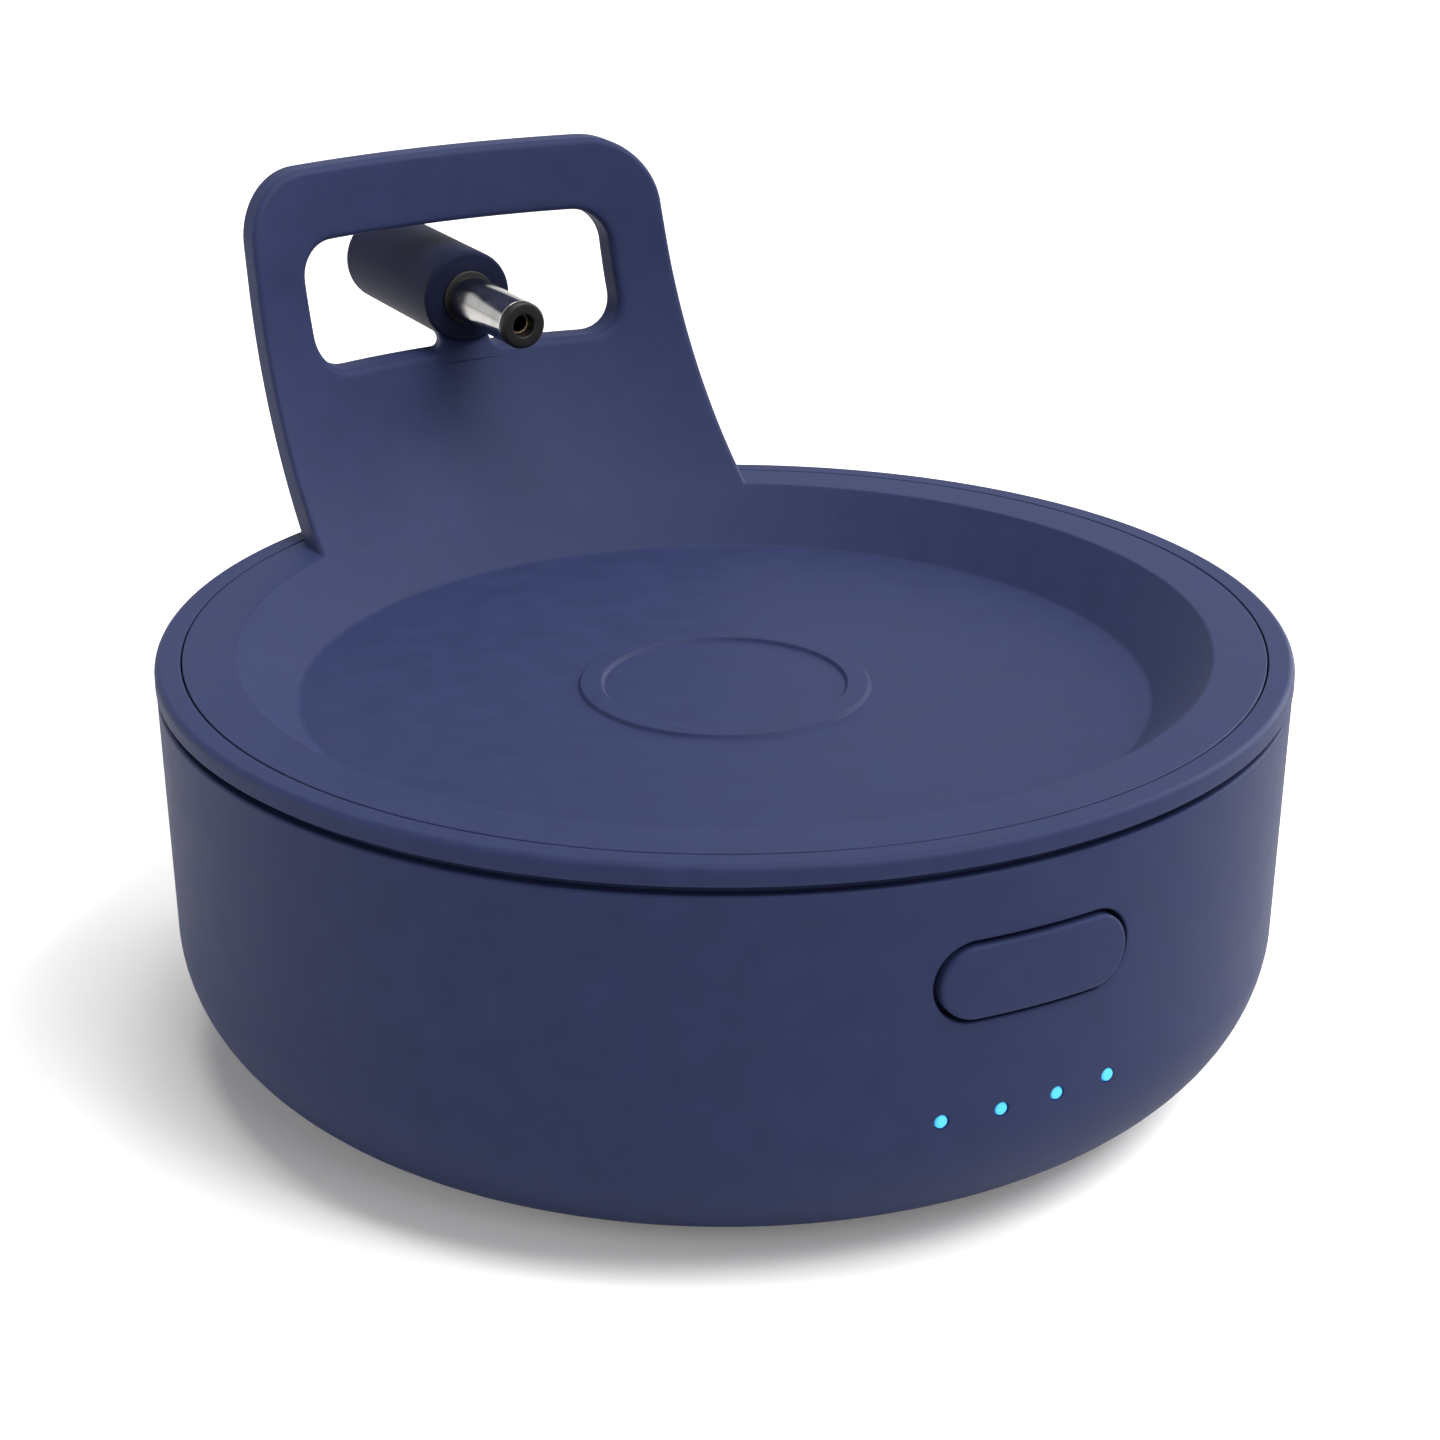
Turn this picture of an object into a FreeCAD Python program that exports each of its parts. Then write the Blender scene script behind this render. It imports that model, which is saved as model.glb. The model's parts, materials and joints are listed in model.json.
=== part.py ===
import FreeCAD, Part
import math
import os

# Rechargeable battery base for a round, puck-shaped speaker.
# The speaker sits in the dish, and the barrel plug on the upright arm goes into its back.
# Millimetres. Origin: centre of the underside, on the table. +Z up, arm at +Y, button at -Y.

V = FreeCAD.Vector
UP = V(0, 0, 1)
BACK = V(0, 1, 0)

# ---- overall sizes ----
RING_R = 52.0            # outer radius of the top ring, the widest place
RIM_Z = 39.0             # height of the dish rim above the table
ARM_RISE = 33.6          # arm's top above the rim

# ---- fits ----
SEAM = 0.15              # gap at a visible seam between two casings
FIT = 0.2                # gap round a seated inner piece
SLIDE_FIT = 0.08         # radial gap of a piece that slides in a hole
ROOT = 0.5               # how far a rib or boss is rooted in the wall it grows from
CLOSE = 0.02             # gap between two pieces that are moulded or glued together
OVER = 1.0               # cutting shapes run this far past the piece they cut

# ---- lower shell ----
WALL = 2.2
UNDER_Z = 0.8            # casing underside above the table
BELLY_R = 13.3           # round between underside and wall
RING_PROUD = 0.1         # ring stands this far out from the shell's top edge
WALL_DRAFT = 0.55        # wall's lean inwards, from its top edge down to that round
EDGE = 0.3               # small broken edges
HOLE_DEEP = 12.0         # reach of the cuts through the wall, in from the ring's radius

# ---- top ring ----
GROOVE = 0.8             # shadow line between ring and shell
RING_HEAD = 1.8          # ring's height above the shadow line
SHOULDER = 1.3           # round of the ring's outer shoulder
SEAT_W = 1.1             # shadow line's depth below the ring's overhang
SPIGOT_H = 3.4           # ring's collar inside the shell
RING_W = 2.37            # ring's width, seen from above
LEDGE_W = 1.4            # ledge inside the ring that the tray sits on

# ---- dish tray ----
TRAY_T = 2.1
LAND_W = 4.76            # flat land between ring and dish
DISH_WALL_W = 5.45       # dish wall, seen from above
DISH_DEEP = 5.13
BEAD_IN = 11.2           # raised round line in the middle of the dish
BEAD_OUT = 13.6
BEAD_H = 0.35
BEAD_SLOPE = 0.1         # how far its two flanks lean in
SKIRT_T = 1.4            # locating skirt under the tray
SKIRT_H = 3.0
TRAY_BOSS_ROOT = 1.2     # screw bosses run up into the tray's floor by this much

# ---- arm ----
ARM_T = 3.2
ARM_BEND_R = 45.0        # the arm's curve up out of the dish wall
ARM_TOP_LEAN = 12.0      # degrees from upright at the top
ARM_TOP_PLAN_R = 72.0    # bow across the arm at its top
ARM_HALF_FOOT = 24.1     # half-width at the rim
ARM_HALF_TOP = 22.85     # half-width at the top
ARM_CORNER = 7.0
WIN_HALF = 17.3          # window in the arm
WIN_LOW = 13.8           # above the rim
WIN_HIGH = 26.4
WIN_CORNER = 3.6
COVER_HALF = 8.0         # rear cover, set flush into the arm's back
LEAD_GROOVE_W = 2.8      # groove for the plug's two wires, under the cover
LEAD_GROOVE_D = 1.1
ARM_SKIN = 0.9           # what the groove leaves of the arm in front of the wires
LEAD_GROOVE_LOW = 0.8    # groove's foot above the rim
LEAD_DROP_IN = 1.7       # slot through the tray, behind the arm's front face
LEAD_DROP_W = 2.0

# ---- plug ----
PLUG_RISE = 19.4         # plug axis above the rim
HOUSING_R = 4.8
HOUSING_PROUD = 0.4      # housing's face in front of the arm's, at the window's lower edge
HOUSING_LEN = 21.2
HOUSING_WALL = 1.2
HOUSING_ROUND = 0.8
CAP_T = 1.6
CAP_SPIGOT_T = 1.05
CAP_SPIGOT_LEN = 2.0
SADDLE_ROUND = 0.75      # hollow round where the housing meets the window's lower edge
SADDLE_ROOT = 1.0
COLLAR_R = 2.8
COLLAR_LEN = 0.4
COLLAR_STEM_R = 2.7
COLLAR_FLANGE_T = 1.0
SLEEVE_R = 2.4
SLEEVE_TAIL_R = 2.15     # behind the collar's face
SLEEVE_BORE_R = 1.8
SLEEVE_LEN = 12.8        # free length in front of the collar
SLEEVE_TAIL = 6.0        # behind the housing's face
TIP_LEN = 0.8            # insulating ring at the tip
TIP_ROUND = 0.35
CONTACT_R = 1.15
CONTACT_BORE_R = 0.85
CONTACT_DEEP = 9.0
CONTACT_SUNK = 1.2
CONTACT_TAIL = 6.5
WIRE_R = 0.4
WIRE_END = 0.15          # from a wire's end to the piece it is joined to
PLUG_WIRE_X = 0.75       # the plug's two wires, each side of the centre line

# ---- button ----
BUTTON_Z = 26.9
BUTTON_HALF_W = 9.0
BUTTON_HALF_H = 3.25
BUTTON_GAP = 0.4
BUTTON_PROUD = 0.45
BUTTON_TRAVEL = 0.5
BUTTON_EDGE = 0.35
FLANGE_LIP = 1.3         # flange that keeps the cap in the shell
FLANGE_GAP = 0.3
FLANGE_T = 1.2
POST_R = 1.0             # guide posts behind the flange
POST_X = 8.0
POST_LEN = 6.6

# ---- switch and front board ----
BOARD_T = 1.6
FRONT_BOARD_HALF = 16.0
FRONT_BOARD_LOW = 7.0
FRONT_BOARD_HIGH = 30.6
SWITCH_HALF = 3.0
SWITCH_T = 3.1
PLUNGER_R = 1.75
PLUNGER_FREE = 1.2
PLUNGER_IN = 1.0
RAIL_W = 2.4
RAIL_GRIP = 1.2          # how far the board's edge goes into its rail
RAIL_BACK = 1.4          # rail's thickness behind the board
RAIL_BELOW = 2.0         # and below it
RAIL_ROOT = 0.4

# ---- charge lights ----
LIGHT_Z = 14.5
LIGHT_PITCH = 5.48
LIGHT_COUNT = 4
PIPE_R = 0.6
PIPE_HOLE_R = 0.66
PIPE_SUNK = 0.3
LED_W = 1.6
LED_H = 0.8
LED_T = 0.6
HOLDER_HALF_H = 1.8
HOLDER_END = 2.4         # past the outermost light
HOLDER_FOOT_HALF = 0.9
HOLDER_OFF_BOARD = 0.5

# ---- charge inlet ----
INLET_Z = 15.0
INLET_HALF_W = 5.5
INLET_HALF_H = 5.5
INLET_LEN = 12.0
INLET_BORE_R = 2.55
INLET_PIN_R = 0.8
INLET_DEEP = 9.5
INLET_NOSE_R = 3.3
INLET_SUNK = 0.5
INLET_PIN_SUNK = 1.0
INLET_SEAT_T = 1.4       # walls of the seat under it
INLET_SEAT_FOOT = 1.6

# ---- battery ----
CELL_R = 9.2
CELL_LEN = 65.0
CELL_GAP = 0.6
CELL_ROUND = 0.8
CELL_CAP_R = 3.2         # raised contact at one end
CELL_CAP_H = 1.2
CRADLE_WALL = 1.4
CRADLE_FLOOR = 1.4
CRADLE_LIFT = 0.7        # above the shell's floor
CRADLE_ABOVE = 2.0       # wall's height above the cells' axis
CRADLE_CORNER = 2.0
CRADLE_PAD_R = 3.0       # pads that it sits on
CRADLE_PAD_X = 28.0
CRADLE_PAD_IN = 5.0      # in from its long side
CRADLE_PIN_R = 1.4
TAB_T = 0.3
TAB_OUT = 3.5            # straps run this far past the cells' axes
TAB_HALF_H = 3.0
TAB_ROOM = 0.5           # room round the straps in the cradle
FOAM_T = 1.0
FOAM_HALF_X = 18.0
GUARD_HALF_X = 14.0      # protection board on the cradle's wall
GUARD_T = 1.0
GUARD_LOW = 4.0          # above the cradle's foot

# ---- main board ----
BOARD_HALF_X = 27.0
BOARD_HALF_Y = 18.0
STANDOFF_R = 2.6
STANDOFF_X = 24.0
STANDOFF_Y = 24.6
BOARD_EAR_R = 3.4
STANDOFF_WEB_HALF = 1.0
STANDOFF_LOW = 4.0       # standoff's foot above the cradle's
COIL_AT = (-16.0, 6.0)
COIL_FOOT = 8.0
COIL_FOOT_T = 0.8
COIL_R = 3.6
COIL_H = 3.5
CAN_R = 2.0
CAN_H = 3.9
CAN_Y = -11.0
CAN_X = (-20.0, -14.0, 14.0)
CHIP_H = 1.0
CHIP_PLACES = ((-4, 4, 5, 5), (7, 6, 4, 5), (2, -6, 6, 4), (18, 2, 3, 3))
SOCKET_H = 3.4
SOCKET_D = 3.6
SOCKET_INSET = 1.4       # in from the board's edge

# ---- fasteners ----
CASE_SCREW_TURN = 57.3   # degrees round from +X
SCREW_INSET = 2.1        # from a screw's head to the base pad's edge
CASE_SCREW_R = 1.25
CASE_SCREW_LEN = 9.0
CASE_HEAD_R = 2.4
CASE_HEAD_H = 1.6
BOSS_R = 3.3
SMALL_SCREW_R = 0.8
SMALL_SCREW_LEN = 5.0
SMALL_HEAD_R = 1.6
SMALL_HEAD_H = 1.1

# ---- base pad ----
PAD_INSET = 2.05         # from the pad's edge to the round of the belly
PAD_T = 1.5
PAD_EDGE = 0.4

# ---- places worked out from the sizes above ----
WALL_TOP_R = RING_R - RING_PROUD
WALL_FOOT_R = WALL_TOP_R - WALL_DRAFT
TRAY_R = RING_R - RING_W - SEAM
DISH_R = TRAY_R - LAND_W
FLOOR_R = DISH_R - DISH_WALL_W
PAD_R = WALL_FOOT_R - BELLY_R - PAD_INSET
SCREW_CIRCLE = PAD_R - SCREW_INSET - CASE_HEAD_R
GROOVE_TOP = RIM_Z - RING_HEAD
SHELL_TOP = GROOVE_TOP - GROOVE
SHELL_FLOOR = UNDER_Z + WALL
BELLY_Z = UNDER_Z + BELLY_R
SHELL_INNER_TOP_R = WALL_TOP_R - WALL
NECK_R = RING_R - SEAT_W
SPIGOT_R = SHELL_INNER_TOP_R - SEAM
LEDGE_Z = RIM_Z - TRAY_T
LEDGE_IN_R = SPIGOT_R - LEDGE_W
DISH_FLOOR_Z = RIM_Z - DISH_DEEP
TRAY_UNDER_Z = DISH_FLOOR_Z - TRAY_T
DISH_SLOPE = math.atan2(DISH_R - FLOOR_R, DISH_DEEP)
PLUG_Z = RIM_Z + PLUG_RISE
CELL_Z = SHELL_FLOOR + CRADLE_LIFT + CRADLE_FLOOR + FIT + CELL_R
CELL_Y = CELL_R + CELL_GAP / 2
CRADLE_HALF_X = CELL_LEN / 2 + TAB_T + FIT + CRADLE_WALL
CRADLE_HALF_Y = 2 * CELL_R + CELL_GAP / 2 + FIT + CRADLE_WALL
CRADLE_LOW = SHELL_FLOOR + CRADLE_LIFT
CRADLE_HIGH = CELL_Z + CRADLE_ABOVE
MAIN_BOARD_Z = CELL_Z + CELL_R + FOAM_T
MAIN_BOARD_TOP = MAIN_BOARD_Z + BOARD_T
BOSS_TOP = SHELL_FLOOR + 7.0
SOCKET_BACK_Y = BOARD_HALF_Y - SOCKET_INSET
COVER_T = ARM_T - ARM_SKIN - LEAD_GROOVE_D
COVER_LOW = 1.4
COVER_HIGH = WIN_LOW - 2.0

os.makedirs("parts", exist_ok=True)
nodes = []


def save(name, shape):
    """Writes one node as STEP, as a single solid or a compound of separate solids."""
    solids = shape.Solids
    whole = solids[0] if len(solids) == 1 else Part.makeCompound(solids)
    whole.exportStep("parts/%s.step" % name)
    nodes.append(name)
    print("%-22s solids %d  volume %9.1f  valid %s" % (name, len(solids), whole.Volume, whole.isValid()))


# ---- small shape helpers ----

def box(x0, x1, y0, y1, z0, z1):
    return Part.makeBox(x1 - x0, y1 - y0, z1 - z0, V(x0, y0, z0))


def rod(radius, start, direction, length):
    return Part.makeCylinder(radius, length, start, direction)


def tube(outer, inner, start, direction, length):
    return rod(outer, start, direction, length).cut(rod(inner, start, direction, length))


def fuse(first, *others):
    return first.multiFuse(list(others)).removeSplitter()


def turned(edges):
    """A solid of revolution about Z, from edges in the XZ plane that close on themselves."""
    face = Part.Face(Part.Wire(edges))
    return face.revolve(V(0, 0, 0), UP, 360)


def rz(radius, height):
    return V(radius, 0, height)


def lines(*points):
    return [Part.LineSegment(a, b).toShape() for a, b in zip(points, points[1:])]


def arc(start, middle, end):
    return Part.Arc(start, middle, end).toShape()


def quarter(centre, radius, degrees_from, degrees_to):
    """An arc in the XZ plane round a centre."""
    def at(degrees):
        turn = math.radians(degrees)
        return centre + V(radius * math.cos(turn), 0, radius * math.sin(turn))
    return arc(at(degrees_from), at((degrees_from + degrees_to) / 2), at(degrees_to))


def pill(half_w, half_h, centre_z, y0, y1):
    """A flat-sided bar with half-round ends, along Y."""
    straight = half_w - half_h
    bar = box(-straight, straight, y0, y1, centre_z - half_h, centre_z + half_h)
    ends = [rod(half_h, V(x, y0, centre_z), BACK, y1 - y0) for x in (-straight, straight)]
    return fuse(bar, *ends)


def rounded_box(x0, x1, y0, y1, z0, z1, radius, axis):
    """A box whose four edges along one axis are rounded."""
    shape = box(x0, x1, y0, y1, z0, z1)
    along = [e for e in shape.Edges if abs(e.tangentAt(e.FirstParameter).dot(axis)) > 0.99]
    return shape.makeFillet(radius, along)


def corners(x, y):
    return [(sx * x, sy * y) for sx in (-1, 1) for sy in (-1, 1)]


def case_screw_places():
    turn = math.radians(CASE_SCREW_TURN)
    return corners(SCREW_CIRCLE * math.cos(turn), SCREW_CIRCLE * math.sin(turn))


# ---- shell and arm surfaces ----

def shell_inner_r(z):
    """Radius of the shell's inner wall at a height."""
    if z < BELLY_Z:
        return WALL_FOOT_R - BELLY_R + math.sqrt((BELLY_R - WALL) ** 2 - (BELLY_Z - z) ** 2)
    return WALL_FOOT_R - WALL + WALL_DRAFT * (z - BELLY_Z) / (SHELL_TOP - BELLY_Z)


def shell_outer_r(z):
    if z < BELLY_Z:
        return WALL_FOOT_R - BELLY_R + math.sqrt(BELLY_R ** 2 - (BELLY_Z - z) ** 2)
    return shell_inner_r(z) + WALL


def arm_front_y(rise):
    """The arm's front face at its centre line, and its slope, at a height above the rim."""
    lean_top = math.radians(ARM_TOP_LEAN)
    bend_rise = ARM_BEND_R * (math.sin(DISH_SLOPE) - math.sin(lean_top))
    if rise <= 0:
        return DISH_R + rise * math.tan(DISH_SLOPE), math.tan(DISH_SLOPE)
    if rise < bend_rise:
        sine = math.sin(DISH_SLOPE) - rise / ARM_BEND_R
        cosine = math.sqrt(1 - sine * sine)
        return DISH_R + ARM_BEND_R * (cosine - math.cos(DISH_SLOPE)), sine / cosine
    bend_y = DISH_R + ARM_BEND_R * (math.cos(lean_top) - math.cos(DISH_SLOPE))
    return bend_y + (rise - bend_rise) * math.tan(lean_top), math.tan(lean_top)


def arm_plan_r(rise):
    """Radius of the arm's bow, seen from above. In the dish it is the dish wall's own circle."""
    if rise <= 0:
        return DISH_R + rise * math.tan(DISH_SLOPE)
    return DISH_R + (ARM_TOP_PLAN_R - DISH_R) * rise / ARM_RISE


def arm_layer_section(rise, depth0, depth1, half):
    """A level section of the arm between two depths behind its front face."""
    front, slope = arm_front_y(rise)
    stretch = math.sqrt(1 + slope * slope)
    z = RIM_Z + rise
    plan = arm_plan_r(rise)

    def bow(x, depth):
        radius = plan + depth * stretch
        return V(x, front - plan + math.sqrt(radius * radius - x * x), z)

    near = [bow(x, depth0) for x in (-half, 0, half)]
    far = [bow(x, depth1) for x in (half, 0, -half)]
    return Part.Wire([arc(*near), *lines(near[2], far[0]), arc(*far), *lines(far[2], near[0])])


def arm_layer(depth0, depth1, half, low, high):
    """A curved plate that follows the arm, between two depths behind its front face."""
    steps = 8
    levels = [low + (high - low) * i / steps for i in range(steps + 1)]
    wires = [arm_layer_section(rise, depth0, depth1, half) for rise in levels]
    plate = Part.makeLoft(wires, True, False)
    if plate.Volume < 0:
        plate.reverse()
    return plate


def arm_outline():
    """The arm seen from the front, as a bar along Y that cuts the curved plate to shape."""
    low, high = RIM_Z, RIM_Z + ARM_RISE
    left = [V(-ARM_HALF_FOOT, 0, low), V(-ARM_HALF_TOP, 0, high)]
    right = [V(ARM_HALF_TOP, 0, high), V(ARM_HALF_FOOT, 0, low)]
    face = Part.Face(Part.Wire(lines(*left, *right, left[0])))
    bar = face.extrude(V(0, 2 * RING_R, 0))
    along = [e for e in bar.Edges if abs(e.tangentAt(e.FirstParameter).y) > 0.99]
    top_edges = [e for e in along if e.CenterOfMass.z > high - 1]
    return bar.makeFillet(ARM_CORNER, top_edges)


# ---- casings ----

def lower_shell():
    belly = rz(WALL_FOOT_R - BELLY_R, BELLY_Z)
    inner_r = BELLY_R - WALL
    outside = lines(rz(0, UNDER_Z), rz(belly.x, UNDER_Z))
    outside += [quarter(belly, BELLY_R, -90, 0)]
    outside += lines(rz(WALL_FOOT_R, BELLY_Z), rz(WALL_TOP_R, SHELL_TOP - EDGE), rz(WALL_TOP_R - EDGE, SHELL_TOP))
    inside = lines(rz(WALL_TOP_R - EDGE, SHELL_TOP), rz(SHELL_INNER_TOP_R, SHELL_TOP))
    inside += lines(rz(SHELL_INNER_TOP_R, SHELL_TOP), rz(WALL_FOOT_R - WALL, BELLY_Z))
    inside += [quarter(belly, inner_r, 0, -90)]
    inside += lines(rz(belly.x, SHELL_FLOOR), rz(0, SHELL_FLOOR), rz(0, UNDER_Z))
    shell = turned(outside + inside)
    shell = fuse(shell, *shell_bosses(), *cradle_pins(), *board_rails())
    shell = shell.cut(rod(PAD_R + FIT, V(0, 0, 0), UP, PAD_T))
    for x, y in case_screw_places():
        shell = shell.cut(rod(CASE_SCREW_R + FIT, V(x, y, 0), UP, BOSS_TOP + OVER))
        shell = shell.cut(rod(CASE_HEAD_R + FIT, V(x, y, 0), UP, SHELL_FLOOR + CASE_HEAD_H))
    outer_y = -RING_R - OVER
    inner_y = -RING_R + HOLE_DEEP
    shell = shell.cut(pill(BUTTON_HALF_W + BUTTON_GAP, BUTTON_HALF_H + BUTTON_GAP, BUTTON_Z, outer_y, inner_y))
    for x in light_places():
        shell = shell.cut(rod(PIPE_HOLE_R, V(x, outer_y, LIGHT_Z), BACK, inner_y - outer_y))
    return shell.cut(inlet_hole())


def shell_bosses():
    """Screw bosses that rise from the floor. The base pad hides their screws."""
    low = SHELL_FLOOR - ROOT
    return [rod(BOSS_R, V(x, y, low), UP, BOSS_TOP - low) for x, y in case_screw_places()]


def cradle_pins():
    """Pads that the battery cradle sits on, each with a pin that locates it."""
    shapes = []
    low = SHELL_FLOOR - ROOT
    for x, y in corners(CRADLE_PAD_X, CRADLE_HALF_Y - CRADLE_PAD_IN):
        shapes.append(rod(CRADLE_PAD_R, V(x, y, low), UP, CRADLE_LIFT + ROOT))
    for x in (-STANDOFF_X, STANDOFF_X):
        shapes.append(rod(CRADLE_PIN_R, V(x, 0, low), UP, CRADLE_LIFT + CRADLE_FLOOR + ROOT))
    return shapes


def board_rails():
    """Two slotted ribs that hold the front board by its edges."""
    rails = []
    board_back = FRONT_BOARD_Y + BOARD_T
    rail_low = FRONT_BOARD_LOW - RAIL_BELOW
    x_in = FRONT_BOARD_HALF - RAIL_GRIP
    x_out = FRONT_BOARD_HALF + RAIL_W
    for side in (-1, 1):
        x0, x1 = sorted((side * x_in, side * x_out))
        rail = box(x0, x1, -SHELL_INNER_TOP_R, board_back + RAIL_BACK, rail_low, FRONT_BOARD_HIGH)
        x0, x1 = sorted((side * (x_in - OVER), side * (FRONT_BOARD_HALF + FIT)))
        slot = box(x0, x1, FRONT_BOARD_Y - FIT, board_back + FIT, FRONT_BOARD_LOW, FRONT_BOARD_HIGH + OVER)
        rails.append(rail.cut(slot).common(shell_room(RAIL_ROOT)))
    return rails


def shell_room(into_wall=0.0):
    """The space inside the shell, grown into its wall by a little so that ribs join it."""
    belly = rz(WALL_FOOT_R - BELLY_R, BELLY_Z)
    inner_r = BELLY_R - WALL + into_wall
    floor = SHELL_FLOOR - into_wall
    edges = lines(rz(0, floor), rz(belly.x, floor))
    edges += [quarter(belly, inner_r, -90, 0)]
    edges += lines(rz(belly.x + inner_r, BELLY_Z), rz(SHELL_INNER_TOP_R + into_wall, SHELL_TOP))
    edges += lines(rz(SHELL_INNER_TOP_R + into_wall, SHELL_TOP), rz(0, SHELL_TOP), rz(0, floor))
    return turned(edges)


def top_ring():
    head = rz(RING_R - SHOULDER, RIM_Z - SHOULDER)
    inner = TRAY_R + SEAM
    foot = SHELL_TOP - SPIGOT_H
    edges = lines(rz(LEDGE_IN_R, foot), rz(SPIGOT_R, foot), rz(SPIGOT_R, SHELL_TOP), rz(NECK_R, SHELL_TOP))
    edges += lines(rz(NECK_R, SHELL_TOP), rz(NECK_R, GROOVE_TOP), rz(RING_R, GROOVE_TOP), rz(RING_R, head.z))
    edges += [quarter(head, SHOULDER, 0, 90)]
    edges += lines(rz(head.x, RIM_Z), rz(inner, RIM_Z), rz(inner, LEDGE_Z))
    edges += lines(rz(inner, LEDGE_Z), rz(LEDGE_IN_R, LEDGE_Z), rz(LEDGE_IN_R, foot))
    return turned(edges)


def dish():
    """The turned part of the tray: land, sloped wall, floor, raised line and locating skirt."""
    wall_back = TRAY_T * (1 / math.cos(DISH_SLOPE) - math.tan(DISH_SLOPE))
    under_r = FLOOR_R - TRAY_T * math.tan(DISH_SLOPE / 2) + wall_back / 2
    under = [rz(0, TRAY_UNDER_Z), rz(under_r, TRAY_UNDER_Z), rz(DISH_R + wall_back, LEDGE_Z), rz(TRAY_R, LEDGE_Z)]
    wall = [rz(TRAY_R, RIM_Z), rz(DISH_R, RIM_Z), rz(FLOOR_R, DISH_FLOOR_Z), rz(BEAD_OUT, DISH_FLOOR_Z)]
    bead_top = DISH_FLOOR_Z + BEAD_H
    bead = [rz(BEAD_OUT - BEAD_SLOPE, bead_top), rz(BEAD_IN + BEAD_SLOPE, bead_top), rz(BEAD_IN, DISH_FLOOR_Z)]
    edges = lines(*under, *wall, *bead, rz(0, DISH_FLOOR_Z), rz(0, TRAY_UNDER_Z))
    skirt_r = LEDGE_IN_R - FIT
    skirt = tube(skirt_r, skirt_r - SKIRT_T, V(0, 0, LEDGE_Z - SKIRT_H), UP, SKIRT_H + ROOT)
    return fuse(turned(edges), skirt)


def tray_bosses():
    """Long bosses under the tray that the case screws bite into."""
    top = TRAY_UNDER_Z + TRAY_BOSS_ROOT
    low = BOSS_TOP + SEAM
    return [rod(BOSS_R, V(x, y, low), UP, top - low) for x, y in case_screw_places()]


def arm_plate():
    plate = arm_layer(0, ARM_T, ARM_HALF_FOOT + OVER, 0, ARM_RISE + OVER)
    plate = plate.common(arm_outline())
    low, high = RIM_Z + WIN_LOW, RIM_Z + WIN_HIGH
    return plate.cut(rounded_box(-WIN_HALF, WIN_HALF, 0, 2 * RING_R, low, high, WIN_CORNER, BACK))


def saddle():
    """Joins the plug housing to the window's lower edge, with a hollow round on each side."""
    front, slope = arm_front_y(WIN_LOW)
    depth = ARM_T * math.sqrt(1 + slope * slope)
    sill = RIM_Z + WIN_LOW
    gap = PLUG_Z - sill
    round_x = math.sqrt((HOUSING_R + SADDLE_ROUND) ** 2 - (gap - SADDLE_ROUND) ** 2)
    top = sill + SADDLE_ROUND + SADDLE_ROUND * (gap - SADDLE_ROUND) / (HOUSING_R + SADDLE_ROUND)
    block = box(-round_x, round_x, front + CLOSE, front + depth, sill - SADDLE_ROOT, top)
    for x in (-round_x, round_x):
        block = block.cut(rod(SADDLE_ROUND, V(x, front, sill + SADDLE_ROUND), BACK, depth + OVER))
    return block.cut(rod(HOUSING_R + CLOSE, V(0, HOUSING_FRONT_Y, PLUG_Z), BACK, HOUSING_LEN))


def lead_groove():
    """Way for the plug's wires inside the arm, from its foot up through the saddle into the housing."""
    back = ARM_T - COVER_T / 2
    top = PLUG_RISE - HOUSING_R + HOUSING_WALL + EDGE
    return arm_layer(ARM_SKIN, back, LEAD_GROOVE_W / 2, LEAD_GROOVE_LOW, top)


def cover_pocket():
    return arm_layer(ARM_T - COVER_T, ARM_T + OVER, COVER_HALF, COVER_LOW, COVER_HIGH)


def lead_drop():
    """Slot that lets the wires down through the tray's land."""
    y0 = DISH_R + LEAD_DROP_IN
    low = LEDGE_Z - SKIRT_H - OVER
    return box(-LEAD_GROOVE_W / 2, LEAD_GROOVE_W / 2, y0, y0 + LEAD_DROP_W, low, RIM_Z + LEAD_GROOVE_LOW + EDGE)


def tray():
    body = fuse(dish(), arm_plate(), saddle(), *tray_bosses())
    for x, y in case_screw_places():
        body = body.cut(rod(CASE_SCREW_R - SEAM + CLOSE, V(x, y, BOSS_TOP), UP, CASE_SCREW_LEN))
    return body.cut(lead_groove()).cut(cover_pocket()).cut(lead_drop())


def arm_rear_cover():
    inner = ARM_T - COVER_T + CLOSE
    return arm_layer(inner, ARM_T, COVER_HALF - SEAM, COVER_LOW + SEAM, COVER_HIGH - SEAM)


def base_pad():
    pad = rod(PAD_R, V(0, 0, 0), UP, PAD_T)
    rim = [e for e in pad.Edges if abs(e.CenterOfMass.z) < 0.01 and e.Length > PAD_R]
    return pad.makeFillet(PAD_EDGE, rim)


# ---- plug ----

HOUSING_FRONT_Y = arm_front_y(WIN_LOW)[0] - HOUSING_PROUD
HOUSING_BACK_Y = HOUSING_FRONT_Y + HOUSING_LEN
HOUSING_BORE_R = HOUSING_R - HOUSING_WALL
TIP_Y = HOUSING_FRONT_Y - COLLAR_LEN - SLEEVE_LEN


def plug_at(y):
    """A place on the plug's axis."""
    return V(0, y, PLUG_Z)


def end_circle(shape, y, at_least):
    """The circular edges of a rod along Y that lie at one of its ends."""
    return [e for e in shape.Edges if abs(e.CenterOfMass.y - y) < 0.01 and e.Length > at_least]


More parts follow.
